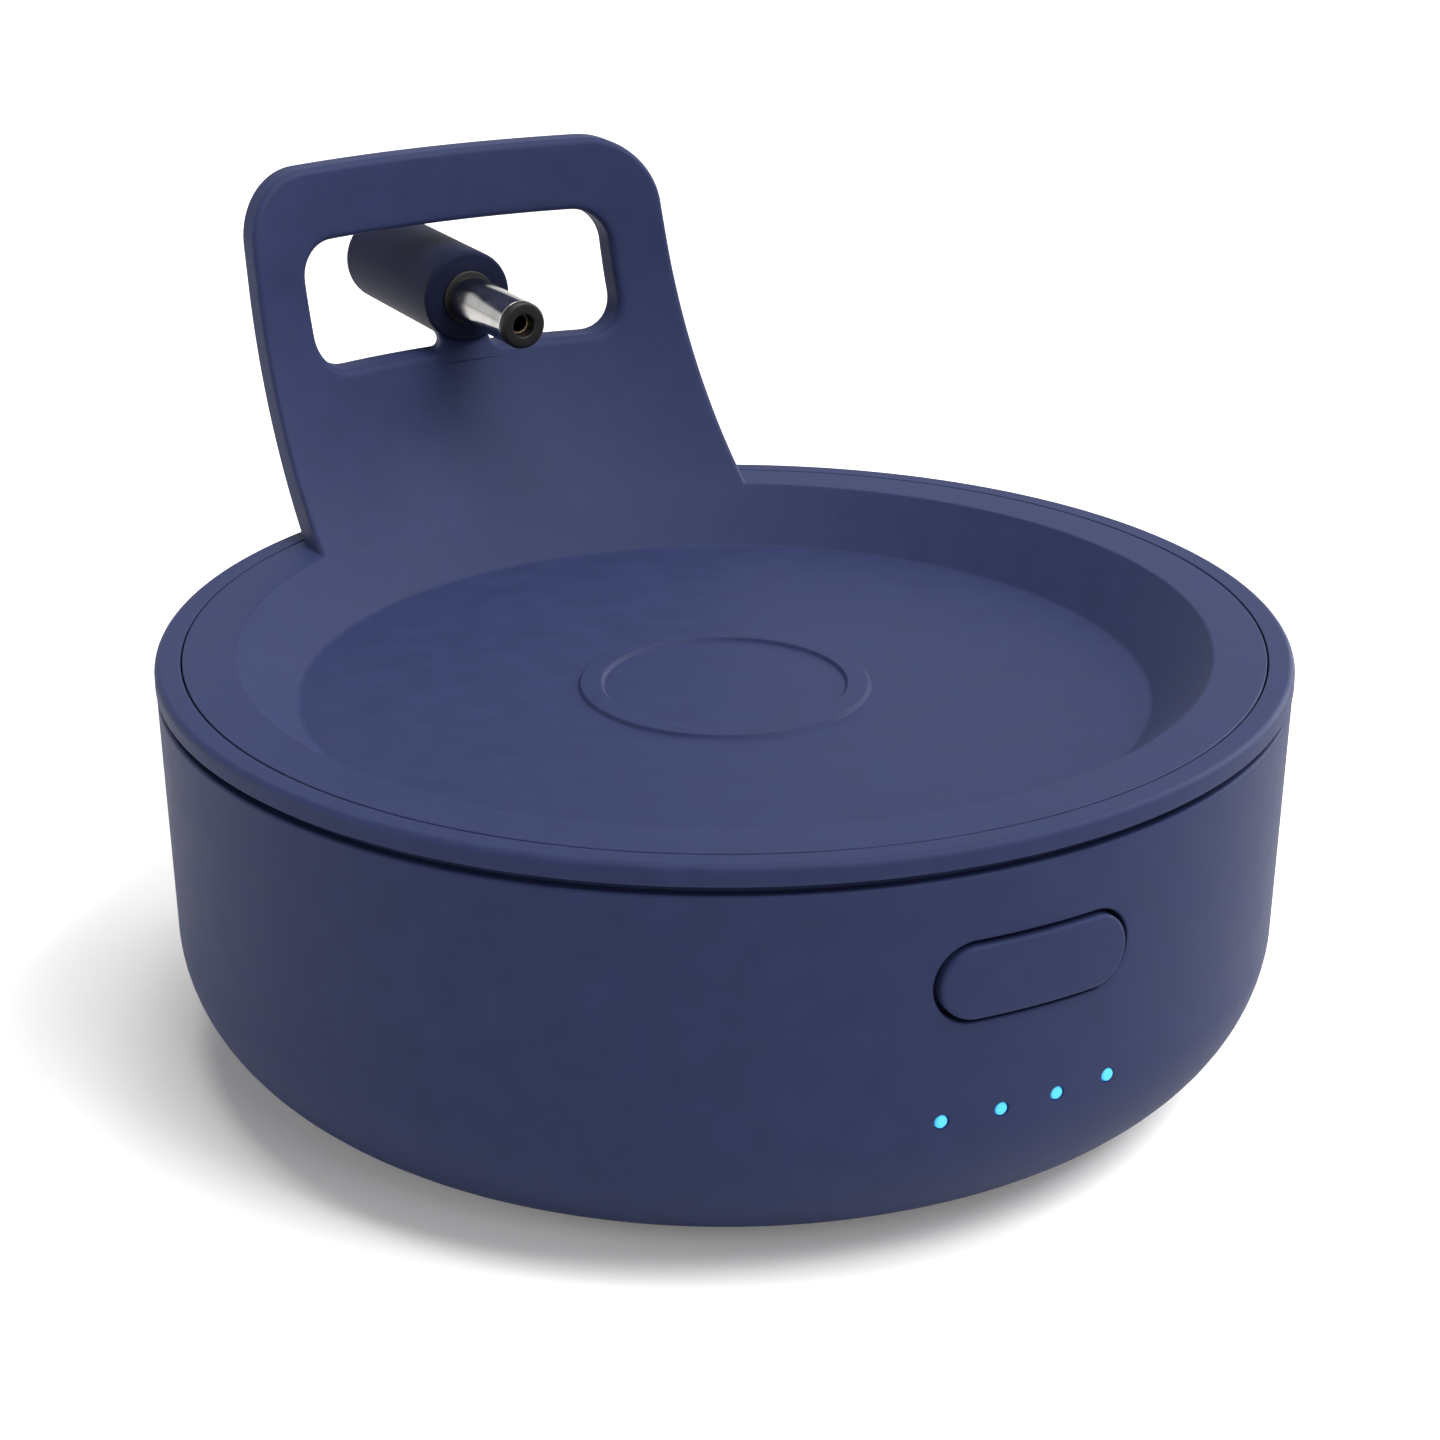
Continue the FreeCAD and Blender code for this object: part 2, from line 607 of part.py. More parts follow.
def plug_housing():
    body = rod(HOUSING_R, plug_at(HOUSING_FRONT_Y), BACK, HOUSING_LEN - CAP_T)
    body = body.makeFillet(EDGE, end_circle(body, HOUSING_FRONT_Y, HOUSING_R))
    body = body.cut(rod(HOUSING_BORE_R, plug_at(HOUSING_FRONT_Y + HOUSING_WALL), BACK, HOUSING_LEN))
    body = body.cut(rod(COLLAR_STEM_R + CLOSE, plug_at(HOUSING_FRONT_Y - OVER), BACK, HOUSING_WALL + 2 * OVER))
    return body.cut(lead_groove())


def plug_rear_cap():
    front_y = HOUSING_BACK_Y - CAP_T
    cap = rod(HOUSING_R, plug_at(front_y), BACK, CAP_T)
    cap = cap.makeFillet(HOUSING_ROUND, end_circle(cap, HOUSING_BACK_Y, HOUSING_R))
    outer = HOUSING_BORE_R - SEAM
    start = plug_at(front_y - CAP_SPIGOT_LEN)
    spigot = tube(outer, outer - CAP_SPIGOT_T, start, BACK, CAP_SPIGOT_LEN + CAP_T / 2)
    return fuse(cap, spigot)


def plug_collar():
    """Black moulded collar that carries the sleeve and is seated in the housing."""
    start = plug_at(HOUSING_FRONT_Y - COLLAR_LEN)
    collar = rod(COLLAR_R, start, BACK, COLLAR_LEN)
    stem = rod(COLLAR_STEM_R, plug_at(HOUSING_FRONT_Y), BACK, HOUSING_WALL + COLLAR_FLANGE_T / 2)
    flange = rod(HOUSING_BORE_R - CLOSE, plug_at(HOUSING_FRONT_Y + HOUSING_WALL), BACK, COLLAR_FLANGE_T)
    return fuse(collar, stem, flange).cut(rod(SLEEVE_TAIL_R, start, BACK, COLLAR_LEN + SLEEVE_TAIL))


def plug_sleeve():
    """Metal tube, stepped down where it goes into the collar."""
    front_y = TIP_Y + TIP_LEN
    collar_y = HOUSING_FRONT_Y - COLLAR_LEN
    shown = rod(SLEEVE_R, plug_at(front_y), BACK, collar_y - front_y)
    tail = rod(SLEEVE_TAIL_R, plug_at(collar_y), BACK, COLLAR_LEN + SLEEVE_TAIL)
    length = HOUSING_FRONT_Y + SLEEVE_TAIL - front_y
    return fuse(shown, tail).cut(rod(SLEEVE_BORE_R, plug_at(front_y), BACK, length))


def plug_insulator():
    """Black tube between sleeve and centre contact, with a ring that shows at the tip."""
    ring = rod(SLEEVE_R, plug_at(TIP_Y), BACK, TIP_LEN)
    ring = ring.makeFillet(TIP_ROUND, end_circle(ring, TIP_Y, SLEEVE_R))
    length = HOUSING_FRONT_Y + SLEEVE_TAIL - TIP_Y
    stem = rod(SLEEVE_BORE_R, plug_at(TIP_Y), BACK, length)
    return fuse(ring, stem).cut(rod(CONTACT_R, plug_at(TIP_Y), BACK, length))


def plug_contact():
    front_y = TIP_Y + CONTACT_SUNK
    pin = rod(CONTACT_R, plug_at(front_y), BACK, HOUSING_FRONT_Y + CONTACT_TAIL - front_y)
    return pin.cut(rod(CONTACT_BORE_R, plug_at(front_y), BACK, CONTACT_DEEP))


def wire(points, radius, largest_bend):
    """A round wire along straight runs joined by tangent arcs, each as large as its runs allow."""
    edges = []
    last = points[0]
    for before, corner, after in zip(points, points[1:], points[2:]):
        shorter = min((corner - before).Length, (after - corner).Length)
        into = (corner - before).normalize()
        out = (after - corner).normalize()
        half_turn = math.acos(max(-1.0, min(1.0, into.dot(out)))) / 2
        bend = min(largest_bend, 0.45 * shorter / math.tan(half_turn))
        reach = bend * math.tan(half_turn)
        start = corner - into * reach
        end = corner + out * reach
        inward = (out - into).normalize()
        centre = corner + inward * (bend / math.cos(half_turn))
        edges += lines(last, start)
        edges.append(arc(start, centre - inward * bend, end))
        last = end
    edges += lines(last, points[-1])
    path = Part.Wire(edges)
    across = (points[1] - points[0]).normalize()
    circle = Part.Wire([Part.Circle(points[0], across, radius).toShape()])
    swept = path.makePipeShell([circle], True, True)
    fill = swept.Volume / (path.Length * math.pi * radius ** 2)
    print("wire: length %.1f, volume over section times length %.4f" % (path.Length, fill))
    return swept


def plug_lead():
    """Two wires from the plug's rear, under its sleeve and down the arm's groove, to the main board."""
    wires = []
    middle = ARM_SKIN + LEAD_GROOVE_D / 2
    tail_y = HOUSING_FRONT_Y + CONTACT_TAIL
    under_sleeve = PLUG_Z - SLEEVE_R - WIRE_R - 0.25
    for x in (-PLUG_WIRE_X, PLUG_WIRE_X):
        down = []
        for rise in (PLUG_RISE - HOUSING_R - FIT, WIN_LOW - 4.0, WIN_LOW * 0.4, LEAD_GROOVE_LOW + 0.1):
            front, slope = arm_front_y(rise)
            down.append(V(x, front + middle * math.sqrt(1 + slope * slope), RIM_Z + rise))
        start = V(x, tail_y + 1.5, PLUG_Z - WIRE_R)
        turn_back = V(x, tail_y + 0.9, under_sleeve)
        turn_down = V(x, down[0].y + 1.2, under_sleeve)
        foot = V(x, down[-1].y - 0.4, LEDGE_Z - 4.5)
        out = V(x, down[-1].y - 8.0, MAIN_BOARD_TOP + 2.4)
        end = V(x, SOCKET_BACK_Y + WIRE_END, MAIN_BOARD_TOP + 2.0)
        wires.append(wire([start, turn_back, turn_down, *down, foot, out, end], WIRE_R, 8.0))
    return Part.makeCompound(wires)


# ---- button, switch, lights ----

SHELL_BUTTON_R = shell_outer_r(BUTTON_Z)
FLANGE_R = SHELL_BUTTON_R - WALL - FLANGE_GAP
FLANGE_BACK_Y = -math.sqrt(FLANGE_R ** 2 - (BUTTON_HALF_W + FLANGE_LIP) ** 2) + FLANGE_T
SWITCH_FRONT_Y = FLANGE_BACK_Y + PLUNGER_FREE
FRONT_BOARD_Y = SWITCH_FRONT_Y + SWITCH_T


def button_cap():
    face_r = SHELL_BUTTON_R + BUTTON_PROUD
    face = pill(BUTTON_HALF_W, BUTTON_HALF_H, BUTTON_Z, -face_r - OVER, FLANGE_BACK_Y)
    face = face.common(rod(face_r, V(0, 0, 0), UP, RIM_Z))
    rim_y = -math.sqrt(face_r ** 2 - BUTTON_HALF_W ** 2)
    face = face.makeFillet(BUTTON_EDGE, [e for e in face.Edges if e.BoundBox.YMax < rim_y + SEAM])
    flange = pill(BUTTON_HALF_W + FLANGE_LIP, BUTTON_HALF_H + FLANGE_LIP, BUTTON_Z, -face_r, FLANGE_BACK_Y)
    flange = flange.common(rod(FLANGE_R, V(0, 0, 0), UP, RIM_Z))
    post_y = FLANGE_BACK_Y - ROOT
    posts = [rod(POST_R, V(x, post_y, BUTTON_Z), BACK, POST_LEN + ROOT) for x in (-POST_X, POST_X)]
    return fuse(face, flange, *posts)


def switch_body():
    low, high = BUTTON_Z - SWITCH_HALF, BUTTON_Z + SWITCH_HALF
    body = box(-SWITCH_HALF, SWITCH_HALF, SWITCH_FRONT_Y, FRONT_BOARD_Y, low, high)
    deep = PLUNGER_IN + BUTTON_TRAVEL + EDGE
    return body.cut(rod(PLUNGER_R + SLIDE_FIT, V(0, SWITCH_FRONT_Y - OVER, BUTTON_Z), BACK, deep + OVER))


def switch_plunger():
    return rod(PLUNGER_R, V(0, FLANGE_BACK_Y, BUTTON_Z), BACK, PLUNGER_FREE + PLUNGER_IN)


def front_board():
    y0, y1 = FRONT_BOARD_Y, FRONT_BOARD_Y + BOARD_T
    board = box(-FRONT_BOARD_HALF, FRONT_BOARD_HALF, y0, y1, FRONT_BOARD_LOW, FRONT_BOARD_HIGH)
    for x in (-POST_X, POST_X):
        board = board.cut(rod(POST_R + SLIDE_FIT, V(x, y0 - OVER, BUTTON_Z), BACK, BOARD_T + 2 * OVER))
    return board


def light_places():
    return [(i - (LIGHT_COUNT - 1) / 2) * LIGHT_PITCH for i in range(LIGHT_COUNT)]


def light_pipe(x):
    """Clear pin from a light on the board to just under the shell's surface, cut to the shell's curve."""
    back_y = FRONT_BOARD_Y - LED_T - SEAM
    pin = rod(PIPE_R, V(x, -RING_R, LIGHT_Z), BACK, RING_R + back_y)
    return pin.common(rod(shell_outer_r(LIGHT_Z) - PIPE_SUNK, V(0, 0, 0), UP, RIM_Z))


def pipe_holder():
    """Dark block behind the wall that holds the light pipes apart."""
    half = LIGHT_PITCH * (LIGHT_COUNT - 1) / 2 + HOLDER_END
    low, high = LIGHT_Z - HOLDER_HALF_H, LIGHT_Z + HOLDER_HALF_H
    back_y = FRONT_BOARD_Y - LED_T - HOLDER_OFF_BOARD
    block = box(-half, half, -RING_R, back_y, low, high)
    block = block.common(rod(shell_inner_r(low) - FIT, V(0, 0, 0), UP, RIM_Z))
    feet = []
    for x in (-half, half):
        feet.append(box(x - HOLDER_FOOT_HALF, x + HOLDER_FOOT_HALF, back_y - ROOT, FRONT_BOARD_Y, low, high))
    block = fuse(block, *feet)
    for x in light_places():
        block = block.cut(rod(PIPE_R + CLOSE, V(x, -RING_R, LIGHT_Z), BACK, RING_R))
    return block


def led(x):
    low, high = LIGHT_Z - LED_H / 2, LIGHT_Z + LED_H / 2
    return box(x - LED_W / 2, x + LED_W / 2, FRONT_BOARD_Y - LED_T, FRONT_BOARD_Y, low, high)


# ---- charge inlet ----

INLET_FACE_Y = math.sqrt(shell_inner_r(INLET_Z - INLET_HALF_H) ** 2 - INLET_HALF_W ** 2) - SEAM
INLET_NOSE_Y = shell_outer_r(INLET_Z) - INLET_SUNK
INLET_FOOT_Y = INLET_NOSE_Y - INLET_DEEP


def inlet_hole():
    return rod(INLET_NOSE_R + SEAM, V(0, RING_R - HOLE_DEEP, INLET_Z), BACK, HOLE_DEEP + OVER)


def inlet_body():
    """Square-bodied power inlet whose round nose fills the hole in the shell's wall."""
    low, high = INLET_Z - INLET_HALF_H, INLET_Z + INLET_HALF_H
    body = box(-INLET_HALF_W, INLET_HALF_W, INLET_FACE_Y - INLET_LEN, INLET_FACE_Y, low, high)
    nose_y = INLET_FACE_Y - ROOT
    body = fuse(body, rod(INLET_NOSE_R, V(0, nose_y, INLET_Z), BACK, INLET_NOSE_Y - nose_y))
    return body.cut(rod(INLET_BORE_R, V(0, INLET_FOOT_Y, INLET_Z), BACK, INLET_DEEP + OVER))


def inlet_pin():
    return rod(INLET_PIN_R, V(0, INLET_FOOT_Y, INLET_Z), BACK, INLET_DEEP - INLET_PIN_SUNK)


def inlet_bracket():
    """Seat under the inlet, standing on the shell's floor."""
    y0, y1 = INLET_FACE_Y - INLET_LEN, INLET_FACE_Y - OVER
    outer_x = INLET_HALF_W + INLET_SEAT_T
    foot_x = INLET_HALF_W - INLET_SEAT_FOOT
    inlet_low = INLET_Z - INLET_HALF_H
    seat = box(-outer_x, outer_x, y0, y1, SHELL_FLOOR, INLET_Z)
    seat = seat.cut(box(-INLET_HALF_W, INLET_HALF_W, y0 - OVER, y1 + OVER, inlet_low, INLET_Z + OVER))
    seat = seat.cut(box(-foot_x, foot_x, y0 - OVER, y1 + OVER, SHELL_FLOOR - OVER, inlet_low - INLET_SEAT_FOOT))
    return seat.common(shell_room(-SEAM))


# ---- battery and boards ----

def cell(side):
    """A round lithium cell along X. The two cells lie head to tail."""
    middle = V(0, side * CELL_Y, CELL_Z)
    along = V(1, 0, 0)
    body = rod(CELL_R, middle - along * (CELL_LEN / 2), along, CELL_LEN - CELL_CAP_H)
    ends = [e for e in body.Edges if e.Length > CELL_R and abs(e.BoundBox.XLength) < 0.01]
    body = body.makeFillet(CELL_ROUND, ends)
    cap_x = CELL_LEN / 2 - CELL_CAP_H - EDGE
    whole = fuse(body, rod(CELL_CAP_R, middle + along * cap_x, along, CELL_CAP_H + EDGE))
    return whole if side > 0 else whole.mirror(V(0, 0, 0), along)


def cell_tabs():
    """Nickel straps across the cell ends."""
    straps = []
    out = CELL_Y + TAB_OUT
    for side in (-1, 1):
        x0, x1 = sorted((side * CELL_LEN / 2, side * (CELL_LEN / 2 + TAB_T)))
        straps.append(box(x0, x1, -out, out, CELL_Z - TAB_HALF_H, CELL_Z + TAB_HALF_H))
    return Part.makeCompound(straps)


def cradle_box():
    """Open box with a round bed for each cell and room for the straps at its ends."""
    x, y = CRADLE_HALF_X, CRADLE_HALF_Y
    outer = rounded_box(-x, x, -y, y, CRADLE_LOW, CRADLE_HIGH, CRADLE_CORNER, UP).common(shell_room(-FIT))
    inner_x = x - CRADLE_WALL
    inner_y = y - CRADLE_WALL
    room = [box(-inner_x, inner_x, -inner_y, inner_y, CELL_Z, CRADLE_HIGH + OVER)]
    for side in (-1, 1):
        room.append(rod(CELL_R + FIT, V(-inner_x, side * CELL_Y, CELL_Z), V(1, 0, 0), 2 * inner_x))
        x0, x1 = sorted((side * inner_x, side * (CELL_LEN / 2 - OVER)))
        strap_y = CELL_Y + TAB_OUT + TAB_ROOM
        room.append(box(x0, x1, -strap_y, strap_y, CELL_Z - TAB_HALF_H - TAB_ROOM, CRADLE_HIGH))
    for shape in room:
        outer = outer.cut(shape)
    return outer


def cell_cradle():
    """The box round the cells, with four standoffs that carry the main board."""
    posts = []
    low = CRADLE_LOW + STANDOFF_LOW
    for x, y in corners(STANDOFF_X, STANDOFF_Y):
        wall_y = math.copysign(CRADLE_HALF_Y - ROOT, y)
        y0, y1 = sorted((wall_y, y))
        posts.append(rod(STANDOFF_R, V(x, y, low), UP, MAIN_BOARD_Z - low))
        posts.append(box(x - STANDOFF_WEB_HALF, x + STANDOFF_WEB_HALF, y0, y1, low, CRADLE_HIGH))
    whole = fuse(cradle_box(), *posts)
    deep = SMALL_SCREW_LEN + ROOT
    for x, y in corners(STANDOFF_X, STANDOFF_Y):
        whole = whole.cut(rod(SMALL_SCREW_R, V(x, y, MAIN_BOARD_Z - deep), UP, deep + OVER))
    for x in (-STANDOFF_X, STANDOFF_X):
        whole = whole.cut(rod(CRADLE_PIN_R + FIT, V(x, 0, CRADLE_LOW - OVER), UP, CRADLE_HIGH))
    return whole


def cell_foam():
    """Soft strip between the cells and the main board."""
    half_y = CELL_Y + CELL_GAP
    return box(-FOAM_HALF_X, FOAM_HALF_X, -half_y, half_y, MAIN_BOARD_Z - FOAM_T, MAIN_BOARD_Z)


def main_board():
    board = box(-BOARD_HALF_X, BOARD_HALF_X, -BOARD_HALF_Y, BOARD_HALF_Y, MAIN_BOARD_Z, MAIN_BOARD_TOP)
    ears = []
    for x, y in corners(STANDOFF_X, STANDOFF_Y):
        root_y = math.copysign(BOARD_HALF_Y - OVER, y)
        y0, y1 = sorted((root_y, y))
        ears.append(rod(BOARD_EAR_R, V(x, y, MAIN_BOARD_Z), UP, BOARD_T))
        ears.append(box(x - BOARD_EAR_R, x + BOARD_EAR_R, y0, y1, MAIN_BOARD_Z, MAIN_BOARD_TOP))
    board = fuse(board, *ears)
    for x, y in corners(STANDOFF_X, STANDOFF_Y):
        board = board.cut(rod(SMALL_SCREW_R + FIT, V(x, y, MAIN_BOARD_Z - OVER), UP, BOARD_T + 2 * OVER))
    return board


def on_board(x, y, width, depth, height):
    x0, y0 = x - width / 2, y - depth / 2
    return box(x0, x0 + width, y0, y0 + depth, MAIN_BOARD_TOP, MAIN_BOARD_TOP + height)


def boost_coil():
    """Wound coil on a square foot, on the main board."""
    x, y = COIL_AT
    foot = on_board(x, y, COIL_FOOT, COIL_FOOT, COIL_FOOT_T)
    return fuse(foot, rod(COIL_R, V(x, y, MAIN_BOARD_TOP), UP, COIL_H))


def capacitors():
    return Part.makeCompound([rod(CAN_R, V(x, CAN_Y, MAIN_BOARD_TOP), UP, CAN_H) for x in CAN_X])


def chips():
    return Part.makeCompound([on_board(x, y, wide, deep, CHIP_H) for x, y, wide, deep in CHIP_PLACES])


def board_sockets():
    """Wire sockets on the main board: plug lead, cells, inlet and front board."""
    back_y = SOCKET_BACK_Y - SOCKET_D / 2
    plug = on_board(0, back_y, 7.0, SOCKET_D, SOCKET_H)
    inlet = on_board(12, back_y, 6.0, SOCKET_D, SOCKET_H)
    cells = on_board(-BOARD_HALF_X + 3.0, 0, SOCKET_D, 6.0, SOCKET_H)
    front = on_board(0, -BOARD_HALF_Y + OVER + SOCKET_D / 2, 8.0, SOCKET_D, SOCKET_H)
    return Part.makeCompound([plug, inlet, cells, front])


def guard_board():
    """Small protection board on the cradle's wall, beside the cells."""
    y0 = CRADLE_HALF_Y + CLOSE
    low = CRADLE_LOW + GUARD_LOW
    return box(-GUARD_HALF_X, GUARD_HALF_X, y0, y0 + GUARD_T, low, CRADLE_HIGH - OVER)


def battery_leads():
    """Two wires from the guard board up over the board's edge to their socket."""
    wires = []
    y = CRADLE_HALF_Y + GUARD_T + WIRE_R
    pitch = 1.6
    for step in (0, 1):
        x = -13.2 + step * pitch
        start = V(x, y, CRADLE_HIGH - 3.0)
        up = V(x, y, MAIN_BOARD_TOP + 1.9)
        over = V(x - 6.4, 8.6, MAIN_BOARD_TOP + 4.7)
        end = V(-BOARD_HALF_X + 3.0 + step * pitch * 0.9, 3.4, MAIN_BOARD_TOP + 2.4)
        wires.append(wire([start, up, over, end], WIRE_R, 4.0))
    return Part.makeCompound(wires)


def inlet_leads():
    """Two wires from the inlet to the main board."""
    wires = []
    for x in (-1.0, 1.0):
        start = V(x + 2.5, INLET_FACE_Y - INLET_LEN - WIRE_END, INLET_Z + 3.0)
        out = V(x + 4.5, STANDOFF_Y + 7.4, INLET_Z + 4.0)
        up = V(x + 8.0, STANDOFF_Y + 1.0, MAIN_BOARD_TOP + 2.0)
        end = V(x + 12.0, SOCKET_BACK_Y + WIRE_END, MAIN_BOARD_TOP + 2.0)
        wires.append(wire([start, out, up, end], WIRE_R, 4.0))
    return Part.makeCompound(wires)


def front_ribbon():
    """Flat lead from the front board to the main board."""
    z0 = MAIN_BOARD_TOP + 1.2
    return box(-3.0, 3.0, FRONT_BOARD_Y + BOARD_T, -BOARD_HALF_Y + OVER, z0, z0 + 0.5)


# ---- fasteners ----

def screw(x, y, head_z, shank_r, length, head_r, head_h, up):
    """A screw whose head's under-face is at head_z. up is +1 when the shank points up."""
    way = UP * up
    seat = V(x, y, head_z)
    head = rod(head_r, seat, way * -1, head_h)
    socket = rod(head_r * 0.45, seat - way * head_h, way, head_h * 0.55)
    shank = rod(shank_r, seat - way * FIT, way, length + FIT)
    return fuse(head.cut(socket), shank)


def case_screws():
    seat_z = SHELL_FLOOR + CASE_HEAD_H
    length = BOSS_TOP + CASE_SCREW_LEN - seat_z - OVER
    thread_r = CASE_SCREW_R - SEAM
    places = case_screw_places()
    screws = [screw(x, y, seat_z, thread_r, length, CASE_HEAD_R, CASE_HEAD_H, 1) for x, y in places]
    return Part.makeCompound(screws)


def board_screws():
    places = corners(STANDOFF_X, STANDOFF_Y)
    thread_r = SMALL_SCREW_R - CLOSE
    screws = [screw(x, y, MAIN_BOARD_TOP, thread_r, SMALL_SCREW_LEN, SMALL_HEAD_R, SMALL_HEAD_H, -1)
              for x, y in places]
    return Part.makeCompound(screws)


# ---- build ----

save("base_pad", base_pad())
save("lower_shell", lower_shell())
save("top_ring", top_ring())
save("dish_tray_and_arm", tray())
save("arm_rear_cover", arm_rear_cover())
save("plug_housing", plug_housing())
save("plug_rear_cap", plug_rear_cap())
save("plug_collar", plug_collar())
save("plug_sleeve", plug_sleeve())
save("plug_insulator", plug_insulator())
save("plug_contact", plug_contact())
save("plug_lead", plug_lead())
save("button_cap", button_cap())
save("switch_body", switch_body())
save("switch_plunger", switch_plunger())
save("front_board", front_board())
save("pipe_holder", pipe_holder())
for number, place in enumerate(light_places(), 1):
    save("light_pipe_%d" % number, light_pipe(place))
    save("light_chip_%d" % number, led(place))
save("inlet_body", inlet_body())
save("inlet_pin", inlet_pin())
save("inlet_bracket", inlet_bracket())
save("inlet_leads", inlet_leads())
save("cell_cradle", cell_cradle())
save("cell_left", cell(-1))
save("cell_right", cell(1))
save("cell_tabs", cell_tabs())
save("cell_foam", cell_foam())
save("guard_board", guard_board())
save("battery_leads", battery_leads())
save("main_board", main_board())
save("boost_coil", boost_coil())
save("capacitors", capacitors())
save("chips", chips())
save("board_sockets", board_sockets())
save("front_ribbon", front_ribbon())
save("case_screws", case_screws())
save("board_screws", board_screws())
print("nodes", len(nodes))
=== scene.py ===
# %% [markdown]
# # A round battery base with an upright plug arm
#
# The object is a low bowl of soft-touch navy plastic. A speaker sits in its dish, and a barrel plug
# on the arm goes into the speaker's back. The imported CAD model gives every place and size, so each
# lesson below reads those first, models one visible piece round them, and then says what body the
# piece moves with.

# %% Load the frame
import json
from math import acos, atan2, ceil, cos, degrees, pi, radians, sin, sqrt, tan
import bmesh
import bpy
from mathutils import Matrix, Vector


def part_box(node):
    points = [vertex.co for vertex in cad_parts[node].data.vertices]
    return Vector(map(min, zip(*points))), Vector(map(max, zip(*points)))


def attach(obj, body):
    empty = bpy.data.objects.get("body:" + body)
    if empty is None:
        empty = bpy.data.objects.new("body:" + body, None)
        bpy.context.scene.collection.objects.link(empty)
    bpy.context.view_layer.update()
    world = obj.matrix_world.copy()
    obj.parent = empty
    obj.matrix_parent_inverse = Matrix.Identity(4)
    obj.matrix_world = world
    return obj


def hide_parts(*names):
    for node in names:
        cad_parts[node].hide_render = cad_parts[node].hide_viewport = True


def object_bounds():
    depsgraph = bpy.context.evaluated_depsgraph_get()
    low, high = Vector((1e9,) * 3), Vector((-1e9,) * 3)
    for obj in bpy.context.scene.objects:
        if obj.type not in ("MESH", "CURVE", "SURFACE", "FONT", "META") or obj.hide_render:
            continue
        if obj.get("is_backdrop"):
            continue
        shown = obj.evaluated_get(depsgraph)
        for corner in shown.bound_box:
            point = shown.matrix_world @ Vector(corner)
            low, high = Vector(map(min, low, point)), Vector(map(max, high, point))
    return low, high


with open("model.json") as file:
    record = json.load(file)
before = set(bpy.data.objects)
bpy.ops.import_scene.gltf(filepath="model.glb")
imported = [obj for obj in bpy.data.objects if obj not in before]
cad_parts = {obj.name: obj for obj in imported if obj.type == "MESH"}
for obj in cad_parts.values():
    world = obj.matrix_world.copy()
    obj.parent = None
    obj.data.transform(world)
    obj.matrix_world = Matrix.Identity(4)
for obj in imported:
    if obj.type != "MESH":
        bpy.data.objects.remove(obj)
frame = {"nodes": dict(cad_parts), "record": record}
cad_low, cad_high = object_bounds()
print("CAD box in mm:", [round(1000 * v, 1) for v in (*cad_low, *cad_high)])

# %% [markdown]
# ## Sizes
#
# The main sizes are corners of the CAD nodes and mounts of the record, so a changed part still fits
# its looks. A node's box gives a low and a high corner, which is enough for a turned piece. The
# sizes that a box can't give, such as a wall's thickness or the radius of a round, are named beside
# the piece that needs them.

# %% Sizes read from the frame
MM = 0.001
mounts = {mount["name"]: Vector(mount["pos_m"]) for mount in frame["record"]["mounts"]}

ring_low, ring_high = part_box("top_ring")
RING_R = ring_high.x
RIM_Z = ring_high.z
DISH_FLOOR_Z = mounts["dish_floor"].z
PLUG_Z = mounts["plug_sleeve"].z

shell_low, shell_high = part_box("lower_shell")
SHELL_TOP_R = shell_high.x
SHELL_TOP_Z = shell_high.z
UNDER_Z = shell_low.z

print("ring radius %.1f mm, rim %.1f mm up, dish floor %.2f mm up" % (
    RING_R / MM, RIM_Z / MM, DISH_FLOOR_Z / MM))

# %% [markdown]
# ## From a drawn outline to a finished mesh
#
# Most of the base is turned: a profile swept round an axis. A moulding tool leaves no knife edge,
# so a profile is written as corners, each with its own small radius, and a helper puts an arc at
# each corner. Bevel modifiers could do this later, but an arc in the profile stays even all the way
# round and adds no stray faces.

# %% Corners with arcs
ARC_STEP = radians(12)


def rounded(corners, closed=True):
    """Turns corners (across, along, radius) into points, with an arc where the radius isn't 0."""
    points = []
    count = len(corners)
    for i, (across, along, radius) in enumerate(corners):
        here = Vector((across, along))
        at_end = not closed and i in (0, count - 1)
        if radius == 0 or at_end:
            points.append(here)
            continue
        back = (Vector(corners[i - 1][:2]) - here).normalized()
        on = (Vector(corners[(i + 1) % count][:2]) - here).normalized()
        half = back.angle(on) / 2
        centre = here + (back + on).normalized() * radius / sin(half)
        first = here + back * radius / tan(half) - centre
        last = here + on * radius / tan(half) - centre
        begin = atan2(first.y, first.x)
        turn = (atan2(last.y, last.x) - begin + pi) % (2 * pi) - pi
        steps = max(2, ceil(abs(turn) / ARC_STEP))
        for k in range(steps + 1):
            angle = begin + turn * k / steps
            points.append(centre + radius * Vector((cos(angle), sin(angle))))
    return points


# %% A sheet of faces between two rows of vertices
def bridge(bm, row, next_row, closed=True):
    """Quads between two rows of the same length. Where a row is one vertex, they are triangles."""
    count = max(len(row), len(next_row))
    for i in range(count if closed else count - 1):
        k = (i + 1) % count
        corners = [row[i % len(row)], row[k % len(row)]]
        corners += [next_row[k % len(next_row)], next_row[i % len(next_row)]]
        corners = [v for n, v in enumerate(corners) if v not in corners[:n]]
        if len(corners) > 2:
            bm.faces.new(corners)


# %% A profile swept round
ON_AXIS = 1e-7


